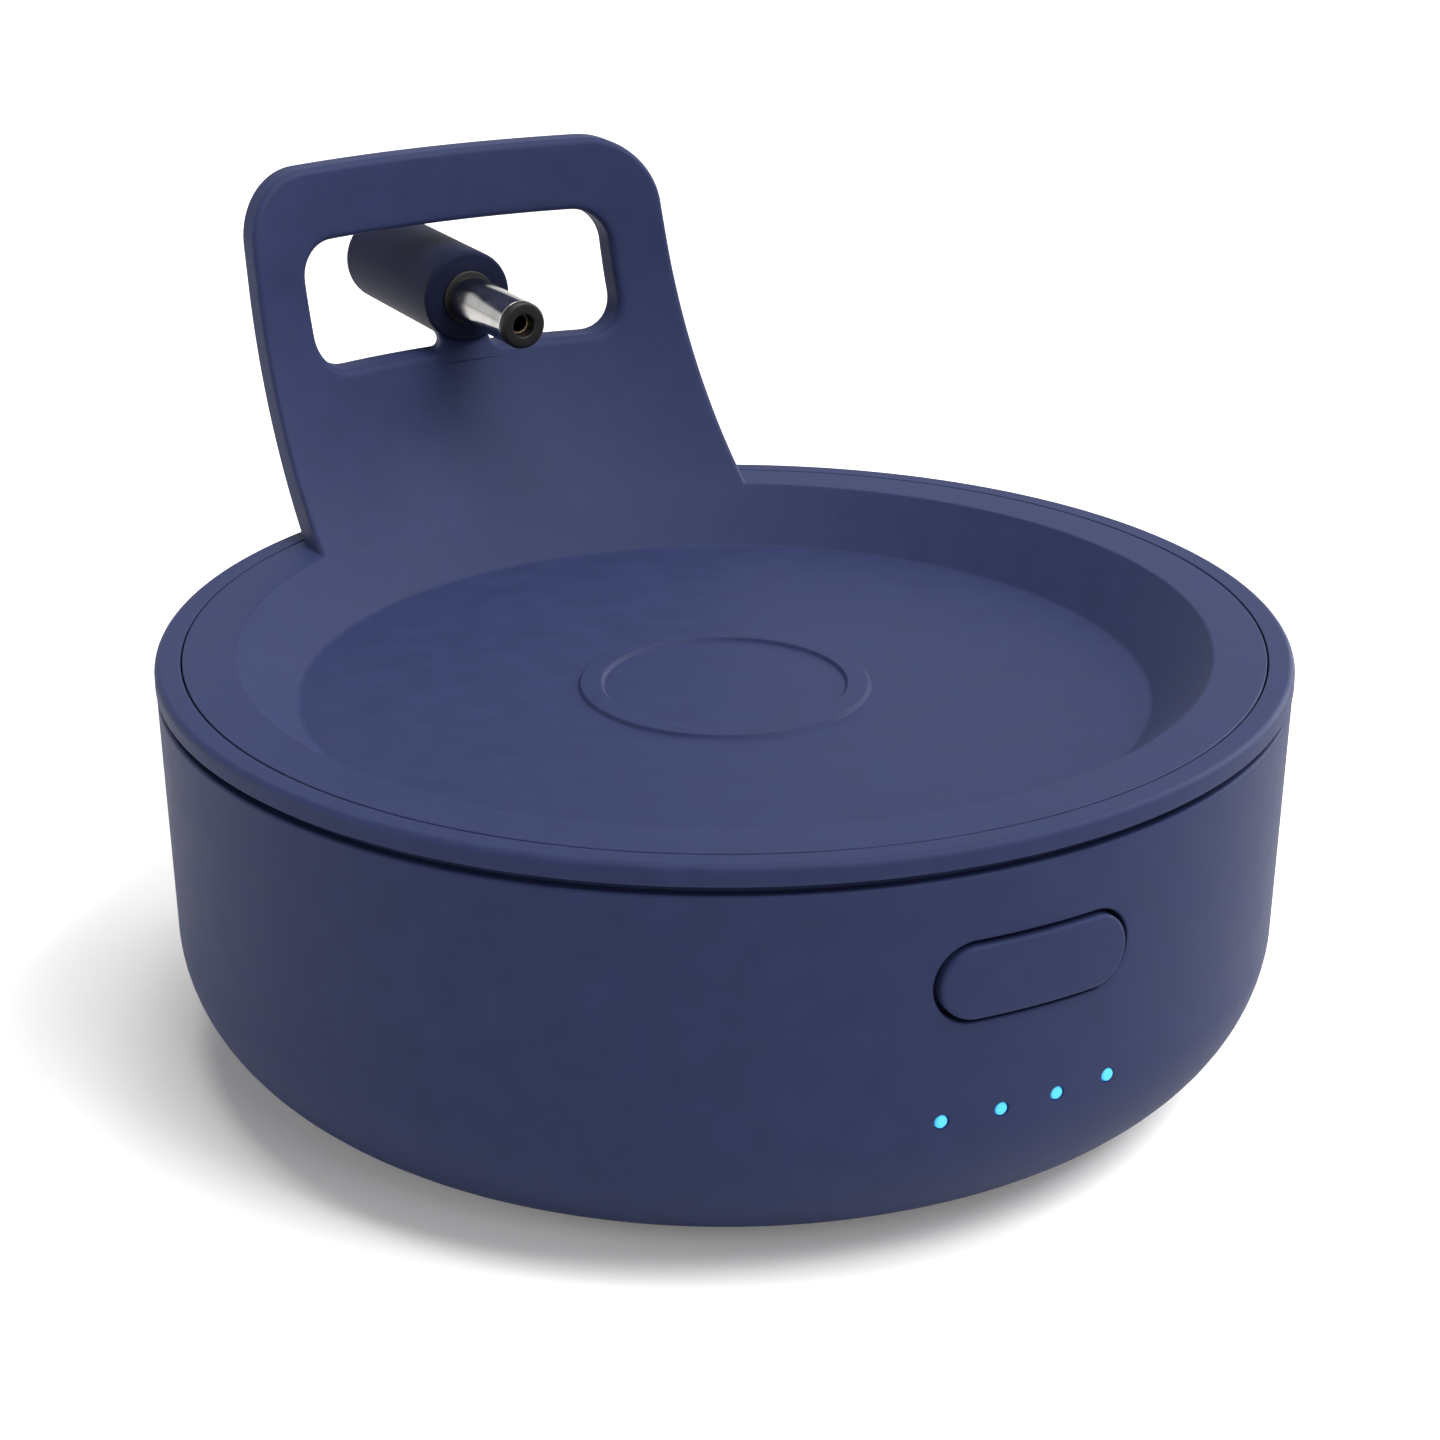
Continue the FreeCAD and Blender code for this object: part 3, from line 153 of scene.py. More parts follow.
def sweep(bm, profile, place, turns, closed):
    """Sweeps a profile round. place(radius, along, angle) says where a point goes."""
    rows = []
    for radius, along in profile:
        if radius < ON_AXIS:
            rows.append([bm.verts.new(place(0, along, 0))])
        else:
            spots = [place(radius, along, 2 * pi * k / turns) for k in range(turns)]
            rows.append([bm.verts.new(spot) for spot in spots])
    pairs = list(zip(rows, rows[1:]))
    if closed:
        pairs.append((rows[-1], rows[0]))
    for row, next_row in pairs:
        bridge(bm, row, next_row)


def about_z(radius, along, angle):
    return Vector((radius * cos(angle), radius * sin(angle), along))


def along_y(x, z):
    """A place function for pieces turned about an axis along Y."""
    def place(radius, along, angle):
        return Vector((x + radius * sin(angle), along, z + radius * cos(angle)))
    return place


# %% A finished piece
SHARP = radians(32)
made = {}


def show(name, bm, body, slot, *nodes):
    """Makes a mesh a piece of the object: its body, its finish and the CAD nodes it stands for."""
    bmesh.ops.recalc_face_normals(bm, faces=bm.faces)
    open_edges = sum(not edge.is_manifold for edge in bm.edges)
    mesh = bpy.data.meshes.new(name)
    bm.to_mesh(mesh)
    bm.free()
    mesh.polygons.foreach_set("use_smooth", [True] * len(mesh.polygons))
    mesh.set_sharp_from_angle(angle=SHARP)
    piece = bpy.data.objects.new(name, mesh)
    flats = piece.modifiers.new("flats stay flat", "WEIGHTED_NORMAL")
    flats.keep_sharp = True
    bpy.context.collection.objects.link(piece)
    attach(piece, body)
    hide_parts(*nodes)
    made[name] = piece, slot
    print("%-16s %6d faces, %d open edges" % (name, len(mesh.polygons), open_edges))


# %% [markdown]
# ## The foot pad
#
# A rubber disc is glued into a recess of the underside and keeps the base from sliding. It is a
# turned piece with a soft lower edge. Fine rings moulded in its face give the grip, and they are
# cut into the profile here, because a piece that is picked up and turned over is looked at from
# below.

# %% Base pad
PAD_EDGE = 0.4 * MM
PAD_TOP_EDGE = 0.1 * MM
PAD_RIBS = 7
RIB_DEEP = 0.15 * MM
GROOVE_MOUTH = 0.6 * MM
GROOVE_FLAT = 0.4 * MM
PAD_TURNS = 192
pad_low, pad_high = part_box("base_pad")
PAD_R = pad_high.x


def pad_profile():
    pitch = PAD_R / (PAD_RIBS + 1)
    corners = [(0, pad_high.z, 0), (PAD_R, pad_high.z, PAD_TOP_EDGE), (PAD_R, pad_low.z, PAD_EDGE)]
    groove = [(GROOVE_MOUTH, 0), (GROOVE_FLAT, RIB_DEEP), (-GROOVE_FLAT, RIB_DEEP), (-GROOVE_MOUTH, 0)]
    for n in range(PAD_RIBS, 0, -1):
        for across, height in groove:
            corners.append((n * pitch + across, pad_low.z + height, 0))
    corners.append((0, pad_low.z, 0))
    return rounded(corners, closed=False)


bm = bmesh.new()
sweep(bm, pad_profile(), about_z, PAD_TURNS, False)
show("foot_pad", bm, "base", "pad_rubber", "base_pad")

# %% [markdown]
# ## The bowl-shaped shell
#
# The lower casing is a moulding with a big round belly and a nearly upright wall. The wall has a
# pill-shaped hole for the button, four small light holes and, at the back, the charge inlet. A
# boolean cut would leave long thin faces on a curved wall, and they spoil a soft reflection. So the
# wall is a regular grid, a rectangle of it is left out round each hole, and rings of quads run from
# the rectangle's edge to the hole's own round rim.

# %% The shell's own sizes
WALL = 2.2 * MM
BELLY_R = 13.3 * MM
WALL_DRAFT = 0.55 * MM
TOP_EDGE = 0.35 * MM
PAD_RECESS_Z = pad_high.z
BELLY_Z = UNDER_Z + BELLY_R
BELLY_STEPS = 14
WALL_FOOT_R = SHELL_TOP_R - WALL_DRAFT
FLAT_R = WALL_FOOT_R - BELLY_R


def shell_r(z):
    """The wall's outer radius at a height."""
    if z < BELLY_Z:
        return FLAT_R + sqrt(max(0, BELLY_R ** 2 - (BELLY_Z - z) ** 2))
    return WALL_FOOT_R + WALL_DRAFT * (z - BELLY_Z) / (SHELL_TOP_Z - BELLY_Z)


def shell_inner_r(z):
    if z < BELLY_Z:
        return FLAT_R + sqrt((BELLY_R - WALL) ** 2 - (BELLY_Z - z) ** 2)
    return shell_r(z) - WALL


print("belly ends %.1f mm up, at a radius of %.2f mm" % (BELLY_Z / MM, shell_r(BELLY_Z) / MM))


# %% Where the holes are
BUTTON_GAP = 0.4 * MM
button_low, button_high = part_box("button_cap")
BUTTON_Z = (button_low.z + button_high.z) / 2
BUTTON_HALF_W = 9.0 * MM
BUTTON_HALF_H = 3.25 * MM
LIGHT_HOLE_R = 0.66 * MM
lights = [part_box("light_pipe_%d" % n) for n in (1, 2, 3, 4)]
LIGHT_X = [(low.x + high.x) / 2 for low, high in lights]
LIGHT_Z = (lights[0][0].z + lights[0][1].z) / 2
LIGHT_PITCH = LIGHT_X[1] - LIGHT_X[0]
inlet_low, inlet_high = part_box("inlet_body")
INLET_Z = mounts["charge_inlet"].z
INLET_HOLE_R = 3.45 * MM
print("button %.1f mm up, lights %.1f mm up and %.2f mm apart, inlet %.1f mm up" % (
    BUTTON_Z / MM, LIGHT_Z / MM, LIGHT_PITCH / MM, INLET_Z / MM))

# %% The grid's rows and columns
CELLS_PER_LIGHT = 10
FINE = LIGHT_PITCH / CELLS_PER_LIGHT
FRONT_COLUMNS = 48
BACK_COLUMNS = 270
FRONT_TURN = FINE / WALL_FOOT_R


def column_angles():
    """Angles from -Y, anticlockwise from above: fine across the front, coarser round the rest."""
    edge = FRONT_COLUMNS / 2 * FRONT_TURN
    front = [-edge + k * FRONT_TURN for k in range(FRONT_COLUMNS)]
    rest = [edge + k * (2 * pi - 2 * edge) / BACK_COLUMNS for k in range(BACK_COLUMNS)]
    return front + rest


def steps_between(low, high, count):
    return [low + (high - low) * k / count for k in range(count)]


# %% The rows, finer beside the lights and the button
PLAIN_ROWS = 3
LIGHT_ROWS = 8
BUTTON_ROWS = 30
INLET_REACH = 5.4 * MM
INLET_ROW_LOW = INLET_Z - INLET_REACH
LIGHT_ROW_LOW = LIGHT_Z - LIGHT_ROWS / 2 * FINE
LIGHT_ROW_HIGH = LIGHT_Z + LIGHT_ROWS / 2 * FINE
BUTTON_ROW_LOW = BUTTON_Z - BUTTON_ROWS / 2 * FINE
BUTTON_ROW_HIGH = BUTTON_Z + BUTTON_ROWS / 2 * FINE
wall_rows = steps_between(INLET_ROW_LOW, LIGHT_ROW_LOW, PLAIN_ROWS)
wall_rows += steps_between(LIGHT_ROW_LOW, LIGHT_ROW_HIGH, LIGHT_ROWS)
wall_rows += steps_between(LIGHT_ROW_HIGH, BUTTON_ROW_LOW, PLAIN_ROWS)
wall_rows += steps_between(BUTTON_ROW_LOW, BUTTON_ROW_HIGH, BUTTON_ROWS) + [BUTTON_ROW_HIGH]
angles = column_angles()
print("wall grid: %d columns and %d rows" % (len(angles), len(wall_rows)))


def nearest(values, wanted):
    return min(range(len(values)), key=lambda n: abs(values[n] - wanted))


# %% A hole with a rounded rim
PILL_LOOPS = 8
ROUND_LOOPS = 5
RIM_STEPS = 4


class Hole:
    """A pill or a round hole in the wall, seen along Y, and the rectangle of the grid that it takes."""

    def __init__(self, x, z, half_w, half_h, side, columns, rows, rim):
        self.middle = Vector((x, z))
        self.half_h = half_h
        self.straight = half_w - half_h
        self.side = side
        self.columns = columns
        self.rows = rows
        self.rim = rim

    def outline(self, x, z):
        """The hole's nearest outline point to a place, and the direction out of the hole there."""
        along = max(-self.straight, min(self.straight, x - self.middle.x))
        spine = Vector((along, 0)) + self.middle
        out = (Vector((x, z)) - spine).normalized()
        return spine + out * self.half_h, out

    def on_wall(self, point, radius_at, deep=0.0):
        radius = radius_at(point.y)
        return Vector((point.x, self.side * (sqrt(radius ** 2 - point.x ** 2) - deep), point.y))

    def cells(self):
        columns = [column % len(angles) for column in range(*self.columns)]
        return {(row, column) for row in range(*self.rows) for column in columns}

    def border(self):
        """Grid places round the rectangle, in order."""
        row0, row1 = self.rows
        col0, col1 = self.columns
        path = [(row0, c) for c in range(col0, col1)] + [(r, col1) for r in range(row0, row1)]
        path += [(row1, c) for c in range(col1, col0, -1)] + [(r, col0) for r in range(row1, row0, -1)]
        return [(row, column % len(angles)) for row, column in path]

    def patch(self, bm, grid, radius_at, way):
        """Rings of quads from the rectangle to the hole's rim, which rolls in where way is 1."""
        ring = [grid[place] for place in self.border()]
        outline = [self.outline(v.co.x, v.co.z) for v in ring]
        start = [Vector((v.co.x, v.co.z)) for v in ring]
        loops = PILL_LOOPS if self.straight else ROUND_LOOPS
        for k in range(1, loops + 1):
            share = k / loops
            points = [s.lerp(p + out * self.rim, share) for s, (p, out) in zip(start, outline)]
            fresh = [bm.verts.new(self.on_wall(p, radius_at)) for p in points]
            bridge(bm, ring, fresh)
            ring = fresh
        for k in range(1, RIM_STEPS + 1):
            angle = pi / 2 * k / RIM_STEPS
            ease = self.rim * (1 - sin(angle))
            deep = way * self.rim * (1 - cos(angle))
            spots = [self.on_wall(p + out * ease, radius_at, deep) for p, out in outline]
            fresh = [bm.verts.new(spot) for spot in spots]
            bridge(bm, ring, fresh)
            ring = fresh
        return ring


# %% The holes of this shell
RIM_ROUND = 0.22 * MM
FRONT, BACK = -1, 1
INLET_HALF_COLUMNS = 6
button_rows = (nearest(wall_rows, BUTTON_ROW_LOW), nearest(wall_rows, BUTTON_ROW_HIGH))
light_rows = (nearest(wall_rows, LIGHT_ROW_LOW), nearest(wall_rows, LIGHT_ROW_HIGH))
inlet_rows = (0, nearest(wall_rows, INLET_Z + INLET_REACH))
holes = [Hole(0, BUTTON_Z, BUTTON_HALF_W + BUTTON_GAP, BUTTON_HALF_H + BUTTON_GAP, FRONT,
              (0, FRONT_COLUMNS), button_rows, RIM_ROUND)]
for n, x in enumerate(LIGHT_X):
    first = FRONT_COLUMNS // 2 + (n - len(LIGHT_X) // 2) * CELLS_PER_LIGHT
    holes.append(Hole(x, LIGHT_Z, LIGHT_HOLE_R, LIGHT_HOLE_R, FRONT,
                      (first, first + CELLS_PER_LIGHT), light_rows, RIM_ROUND / 2))
back_column = FRONT_COLUMNS + BACK_COLUMNS // 2
inlet_columns = (back_column - INLET_HALF_COLUMNS, back_column + INLET_HALF_COLUMNS)
holes.append(Hole(0, INLET_Z, INLET_HOLE_R, INLET_HOLE_R, BACK, inlet_columns, inlet_rows, RIM_ROUND))
print("holes in the wall:", len(holes))


# %% The shell's skins
def shell_place(radius, z, angle):
    return Vector((radius * sin(angle), -radius * cos(angle), z))


def shell_skin(bm, radius_at, rims, way):
    """One skin of the wall, outer or inner, with its patches. Returns its lowest and highest rows."""
    grid = {}
    for row, z in enumerate(wall_rows):
        for column, angle in enumerate(angles):
            grid[row, column] = bm.verts.new(shell_place(radius_at(z), z, angle))
    gaps = set().union(*(hole.cells() for hole in holes))
    for row in range(len(wall_rows) - 1):
        for column in range(len(angles)):
            if (row, column) not in gaps:
                beside = (column + 1) % len(angles)
                low_pair = [grid[row, column], grid[row, beside]]
                bm.faces.new(low_pair + [grid[row + 1, beside], grid[row + 1, column]])
    for hole in holes:
        rims.append(hole.patch(bm, grid, radius_at, way))
    for vertex in [v for v in bm.verts if not v.link_faces]:
        bm.verts.remove(vertex)
    last = len(wall_rows) - 1
    return [grid[0, c] for c in range(len(angles))], [grid[last, c] for c in range(len(angles))]


def add_rows(bm, row, profile):
    """Carries a skin on from one of its rows, to a pole where the radius is 0."""
    for radius, z in profile:
        if radius < ON_AXIS:
            fresh = [bm.verts.new((0, 0, z))]
        else:
            fresh = [bm.verts.new(shell_place(radius, z, angle)) for angle in angles]
        bridge(bm, row, fresh)
        row = fresh
    return row


def belly_points(corner_r):
    """The belly's round from the grid's lowest row down to its flat, as radius and height."""
    start = acos((BELLY_Z - INLET_ROW_LOW) / corner_r)
    turns = [start * (1 - k / BELLY_STEPS) for k in range(1, BELLY_STEPS + 1)]
    return [(FLAT_R + corner_r * sin(turn), BELLY_Z - corner_r * cos(turn)) for turn in turns]


# %% Build the shell
RECESS_MOUTH = 0.35 * MM
RECESS_GAP = 0.2 * MM
RECESS_EASE = 0.15 * MM
bm = bmesh.new()
outer_rims, inner_rims = [], []
outer_foot, outer_top = shell_skin(bm, shell_r, outer_rims, 1)
inner_foot, inner_top = shell_skin(bm, shell_inner_r, inner_rims, -1)
recess_r = PAD_R + RECESS_GAP
under = belly_points(BELLY_R) + [(PAD_R + RECESS_MOUTH, UNDER_Z), (recess_r, UNDER_Z + RECESS_EASE)]
add_rows(bm, outer_foot, under + [(recess_r, PAD_RECESS_Z), (0, PAD_RECESS_Z)])
add_rows(bm, inner_foot, belly_points(BELLY_R - WALL) + [(0, UNDER_Z + WALL)])
lip = rounded([
    (shell_r(BUTTON_ROW_HIGH), BUTTON_ROW_HIGH, 0), (SHELL_TOP_R, SHELL_TOP_Z, TOP_EDGE),
    (SHELL_TOP_R - WALL, SHELL_TOP_Z, TOP_EDGE),
    (shell_inner_r(BUTTON_ROW_HIGH), BUTTON_ROW_HIGH, 0)], False)
bridge(bm, add_rows(bm, outer_top, lip[1:-1]), inner_top)
for outer_rim, inner_rim in zip(outer_rims, inner_rims):
    bridge(bm, outer_rim, inner_rim)
show("shell", bm, "base", "case_plastic", "lower_shell")

# %% [markdown]
# ## The power button
#
# The button is a pill with a curved face that stands a little proud of the wall, so that a thumb
# finds it. Its face is a ladder: a column of points for each place along the pill, narrower where
# the ends are round. A ladder has no pole in the middle, so the face takes a clean highlight. The
# flange behind the wall keeps the cap in, and two posts guide it, so they are modelled with the
# same two functions.

# %% A pill-shaped block
BUTTON_EDGE = 0.35 * MM
END_STEPS = 14
STRAIGHT_STEPS = 30
RUNGS = 10
EDGE_STEPS = 4


def pill_outline(half_w, half_h):
    """Points over the top of a pill from its left tip to its right, each with its outward direction."""
    straight = half_w - half_h
    points = []
    for k in range(END_STEPS + 1):
        angle = pi - pi / 2 * k / END_STEPS
        points.append((Vector((-straight, 0)), Vector((cos(angle), sin(angle)))))
    for k in range(1, STRAIGHT_STEPS):
        along = -straight + 2 * straight * k / STRAIGHT_STEPS
        points.append((Vector((along, 0)), Vector((0, 1))))
    for k in range(END_STEPS + 1):
        angle = pi / 2 - pi / 2 * k / END_STEPS
        points.append((Vector((straight, 0)), Vector((cos(angle), sin(angle)))))
    return [(spine + out * half_h, out) for spine, out in points]


def pill_face(bm, outline, edge, place):
    """A face of ladder rungs inside a pill outline. Returns its rim of vertices, all the way round."""
    columns = []
    for point, out in outline:
        inner = point - out * edge
        if abs(inner.y) < ON_AXIS:
            columns.append([bm.verts.new(place(inner.x, 0))])
        else:
            heights = [inner.y * (1 - 2 * k / RUNGS) for k in range(RUNGS + 1)]
            columns.append([bm.verts.new(place(inner.x, up)) for up in heights])
    for column, beside in zip(columns, columns[1:]):
        bridge(bm, column, beside, closed=False)
    return [column[0] for column in columns] + [column[-1] for column in columns[-2:0:-1]]


# %% A closed pill with a rounded front edge
def pill_block(bm, half_w, half_h, z, front_y, back_y, edge):
    """A closed pill along Y with a rounded front edge. front_y(x) gives the face's curve."""
    top = pill_outline(half_w, half_h)
    under = [(Vector((p.x, -p.y)), Vector((out.x, -out.y))) for p, out in top[-2:0:-1]]
    ring = pill_face(bm, top, edge, lambda x, up: (x, front_y(x), z + up))
    for k in range(1, EDGE_STEPS + 1):
        angle = pi / 2 * k / EDGE_STEPS
        inset = edge * (1 - sin(angle))
        deep = edge * (1 - cos(angle))
        fresh = []
        for point, out in top + under:
            place = point - out * inset
            fresh.append(bm.verts.new((place.x, front_y(place.x) + deep, z + place.y)))
        bridge(bm, ring, fresh)
        ring = fresh
    back = pill_face(bm, top, 0, lambda x, up: (x, back_y, z + up))
    bridge(bm, ring, back)


# %% Button cap
BUTTON_FACE_R = -button_low.y
FLANGE_LIP = 1.3 * MM
FLANGE_T = 1.2 * MM
FLANGE_GAP = 0.3 * MM
FLANGE_EDGE = 0.1 * MM
POST_R = 1.0 * MM
POST_X = 8.0 * MM
POST_LEN = 6.6 * MM
POST_EASE = 0.2 * MM
POST_TURNS = 24
flange_back_y = button_high.y - POST_LEN
flange_mid_y = flange_back_y - FLANGE_T / 2
flange_r = shell_inner_r(BUTTON_Z) - FLANGE_GAP

bm = bmesh.new()
pill_block(bm, BUTTON_HALF_W, BUTTON_HALF_H, BUTTON_Z,
           lambda x: -sqrt(BUTTON_FACE_R ** 2 - x ** 2), flange_mid_y, BUTTON_EDGE)
pill_block(bm, BUTTON_HALF_W + FLANGE_LIP, BUTTON_HALF_H + FLANGE_LIP, BUTTON_Z,
           lambda x: -sqrt(flange_r ** 2 - x ** 2), flange_back_y, FLANGE_EDGE)
for x in (-POST_X, POST_X):
    post = [(0, flange_mid_y), (POST_R, flange_mid_y), (POST_R, button_high.y - POST_EASE),
            (POST_R - POST_EASE, button_high.y), (0, button_high.y)]
    sweep(bm, post, along_y(x, BUTTON_Z), POST_TURNS, False)
show("button", bm, "button", "case_plastic", "button_cap")

# %% [markdown]
# ## The four charge lights
#
# Each light is a clear pin that brings an LED's light from the circuit board to the wall. Its face
# is domed and sits just short of the surface, so that the dot is as bright from the side as from
# the front. Four turned pins do it, each a hair thinner than its hole.

# %% Light pins
PIN_R = 0.6 * MM
PIN_DOME = 0.25 * MM
PIN_BACK_EDGE = 0.05 * MM
PIN_FORWARD = 0.25 * MM
PIN_TURNS = 32
for n, (low, high) in enumerate(lights, 1):
    face_y = low.y - PIN_FORWARD
    profile = rounded([(0, face_y, 0), (PIN_R, face_y, PIN_DOME), (PIN_R, high.y, PIN_BACK_EDGE),
                       (0, high.y, 0)], False)
    bm = bmesh.new()
    sweep(bm, profile, along_y(LIGHT_X[n - 1], LIGHT_Z), PIN_TURNS, False)
    show("light_%d" % n, bm, "base", "light_blue", "light_pipe_%d" % n)

# %% [markdown]
# ## The top ring
#
# A separate ring finishes the casing. It stands over a narrow neck, which makes the dark shadow
# line all the way round, and its outer shoulder is a quarter round that catches the light. Every
# step of the profile is real geometry, because a shadow line painted as a dark band would not move
# with the light.

# %% Ring profile
SHOULDER = 0.7 * MM
NECK_DEEP = 1.1 * MM
RING_HEAD = 1.8 * MM
RING_W = 2.37 * MM
TRAY_T = 2.1 * MM
SEAT_GAP = 0.15 * MM
SPIGOT_W = 1.4 * MM
SEAM_EDGE = 0.12 * MM
SMALL = 0.15 * MM
BODY_TURNS = 384
ring_in_r = RING_R - RING_W
neck_r = RING_R - NECK_DEEP
head_z = RIM_Z - RING_HEAD
ledge_z = RIM_Z - TRAY_T
spigot_r = SHELL_TOP_R - WALL - SEAT_GAP
ledge_in_r = spigot_r - SPIGOT_W
ring_profile = rounded([
    (ring_in_r, RIM_Z, SEAM_EDGE), (RING_R, RIM_Z, SHOULDER), (RING_R, head_z, SMALL),
    (neck_r, head_z, SMALL), (neck_r, SHELL_TOP_Z, 0), (spigot_r, SHELL_TOP_Z, 0),
    (spigot_r, ring_low.z, SMALL), (ledge_in_r, ring_low.z, SMALL), (ledge_in_r, ledge_z, SMALL),
    (ring_in_r, ledge_z, 0)])
bm = bmesh.new()
sweep(bm, ring_profile, about_z, BODY_TURNS, True)
show("ring", bm, "base", "case_plastic", "top_ring")

# %% [markdown]
# ## The dished tray
#
# The tray has a flat land inside the ring, a sloped wall, and a flat floor with one raised round
# line that marks where the speaker's foot goes. A moulding like this has an easy round at the
# wall's foot, a tighter one at its top, and soft flanks on the raised line. All of it is one turned
# profile. The arm grows out of the same moulding, and it comes next as a second closed mesh in the
# same piece.

# %% Tray profile
LAND_W = 4.76 * MM
DISH_WALL_W = 5.45 * MM
TRAY_R = ring_in_r - SEAT_GAP
DISH_R = TRAY_R - LAND_W
FLOOR_R = DISH_R - DISH_WALL_W
BEAD_IN = 11.2 * MM
BEAD_OUT = 13.6 * MM
BEAD_H = 0.35 * MM
BEAD_FLANK = 0.25 * MM
FOOT_ROUND = 0.9 * MM
LAND_ROUND = 0.45 * MM
SKIRT_GAP = 0.2 * MM
SKIRT_DEEP = 3 * MM
UNDER_ROUND = 0.5 * MM
DISH_SLOPE = atan2(DISH_WALL_W, RIM_Z - DISH_FLOOR_Z)
under_z = DISH_FLOOR_Z - TRAY_T
skirt_r = ledge_in_r - SKIRT_GAP
skirt_z = ledge_z - SKIRT_DEEP
bead_top = DISH_FLOOR_Z + BEAD_H
tray_profile = rounded([
    (0, DISH_FLOOR_Z, 0), (BEAD_IN, DISH_FLOOR_Z, SMALL), (BEAD_IN + BEAD_FLANK, bead_top, SMALL),
    (BEAD_OUT - BEAD_FLANK, bead_top, SMALL), (BEAD_OUT, DISH_FLOOR_Z, SMALL),
    (FLOOR_R, DISH_FLOOR_Z, FOOT_ROUND), (DISH_R, RIM_Z, LAND_ROUND), (TRAY_R, RIM_Z, SEAM_EDGE),
    (TRAY_R, ledge_z, SMALL), (skirt_r, ledge_z, SMALL), (skirt_r, skirt_z, SMALL),
    (skirt_r - SPIGOT_W, skirt_z, SMALL), (skirt_r - SPIGOT_W, ledge_z, UNDER_ROUND),
    (FLOOR_R - TRAY_T / 2, under_z, UNDER_ROUND), (0, under_z, 0)], False)
tray = bmesh.new()
sweep(tray, tray_profile, about_z, BODY_TURNS, False)
print("dish floor %.1f mm across, wall leans %.0f degrees" % (2 * FLOOR_R / MM, degrees(DISH_SLOPE)))

# %% [markdown]
# ## The arm's own surface
#
# The arm is a curved plate that keeps the dish wall's slope at its foot, bends upright, and is
# bowed from side to side like the rim it grows from. It is easier to draw flat. So the arm is
# outlined as seen from the front, by x, the rise above the rim and the depth behind its front face,
# and one function bends every point into place.

# %% Bend a flat place onto the arm
ARM_T = 3.2 * MM
ARM_BEND_R = 45 * MM
ARM_LEAN = radians(12)
ARM_TOP_PLAN_R = 72 * MM
ARM_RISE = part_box("dish_tray_and_arm")[1].z - RIM_Z


def arm_front(rise):
    """The front face at the middle of the arm, as its distance from the centre and its slope."""
    bend_rise = ARM_BEND_R * (sin(DISH_SLOPE) - sin(ARM_LEAN))
    if rise <= 0:
        return DISH_R + rise * tan(DISH_SLOPE), tan(DISH_SLOPE)
    if rise < bend_rise:
        sine = sin(DISH_SLOPE) - rise / ARM_BEND_R
        cosine = sqrt(1 - sine ** 2)
        return DISH_R + ARM_BEND_R * (cosine - cos(DISH_SLOPE)), sine / cosine
    bend_y = DISH_R + ARM_BEND_R * (cos(ARM_LEAN) - cos(DISH_SLOPE))
    return bend_y + (rise - bend_rise) * tan(ARM_LEAN), tan(ARM_LEAN)


def on_arm(x, rise, depth):
    front, slope = arm_front(rise)
    plan = front if rise <= 0 else DISH_R + (ARM_TOP_PLAN_R - DISH_R) * rise / ARM_RISE
    radius = plan + depth * sqrt(1 + slope ** 2)
    return Vector((x, front - plan + sqrt(radius ** 2 - x ** 2), RIM_Z + rise))


print("arm's top edge:", [round(v / MM, 1) for v in on_arm(0, ARM_RISE, 0)], "mm")

# %% [markdown]
# ## The arm's mesh
#
# Below the window the plate is a plain grid. Above that it is rings of quads that pass from the
# window's rounded outline to the arm's own. The same outline is used for the front skin, the
# rounded edge, the side and the back, so the skins always meet vertex to vertex. The back skin
# leaves a pocket for the cover over the plug's wires. The grid starts a little way down the dish
# wall and lies on it, and so the wall seems to run on up the arm.

# %% Outlines seen from the front
HALF_FOOT = 24.1 * MM
HALF_TOP = 22.85 * MM
CORNER = 7.0 * MM
WIN_HALF = 17.3 * MM
WIN_LOW = 13.8 * MM
WIN_HIGH = 26.4 * MM
WIN_CORNER = 3.6 * MM
ARM_ROUND = 0.65 * MM
LAP = -0.8 * MM
STITCH = 12.2 * MM
COVER_LOW = 1.4 * MM
COVER_HIGH = 11.9 * MM
LAP_PROUD = 0.008 * MM
PANEL_COLUMNS = 46
FOOT_ROWS = [LAP, -0.3 * MM, 0.2 * MM, 0.8 * MM]
COVER_ROWS = 14
SIDE_STEPS = 22
CORNER_STEPS = 18
panel_rows = FOOT_ROWS + steps_between(COVER_LOW, COVER_HIGH, COVER_ROWS) + [COVER_HIGH, STITCH]


# %% Points round the arm
def half_width(rise):
    return HALF_FOOT + (HALF_TOP - HALF_FOOT) * rise / ARM_RISE


def arc_points(middle, radius, begin, end, steps):
    """Points on an arc after its first one, by degrees, each with its outward direction."""
    points = []
    for k in range(1, steps + 1):
        angle = radians(begin + (end - begin) * k / steps)
        out = Vector((cos(angle), sin(angle)))
        points.append((middle + out * radius, out))
    return points


def mirrored(points):
    """The same run of (place, direction) on the other side, in the order that carries it on."""
    return [(Vector((-p.x, p.y)), Vector((-out.x, out.y))) for p, out in reversed(points)]


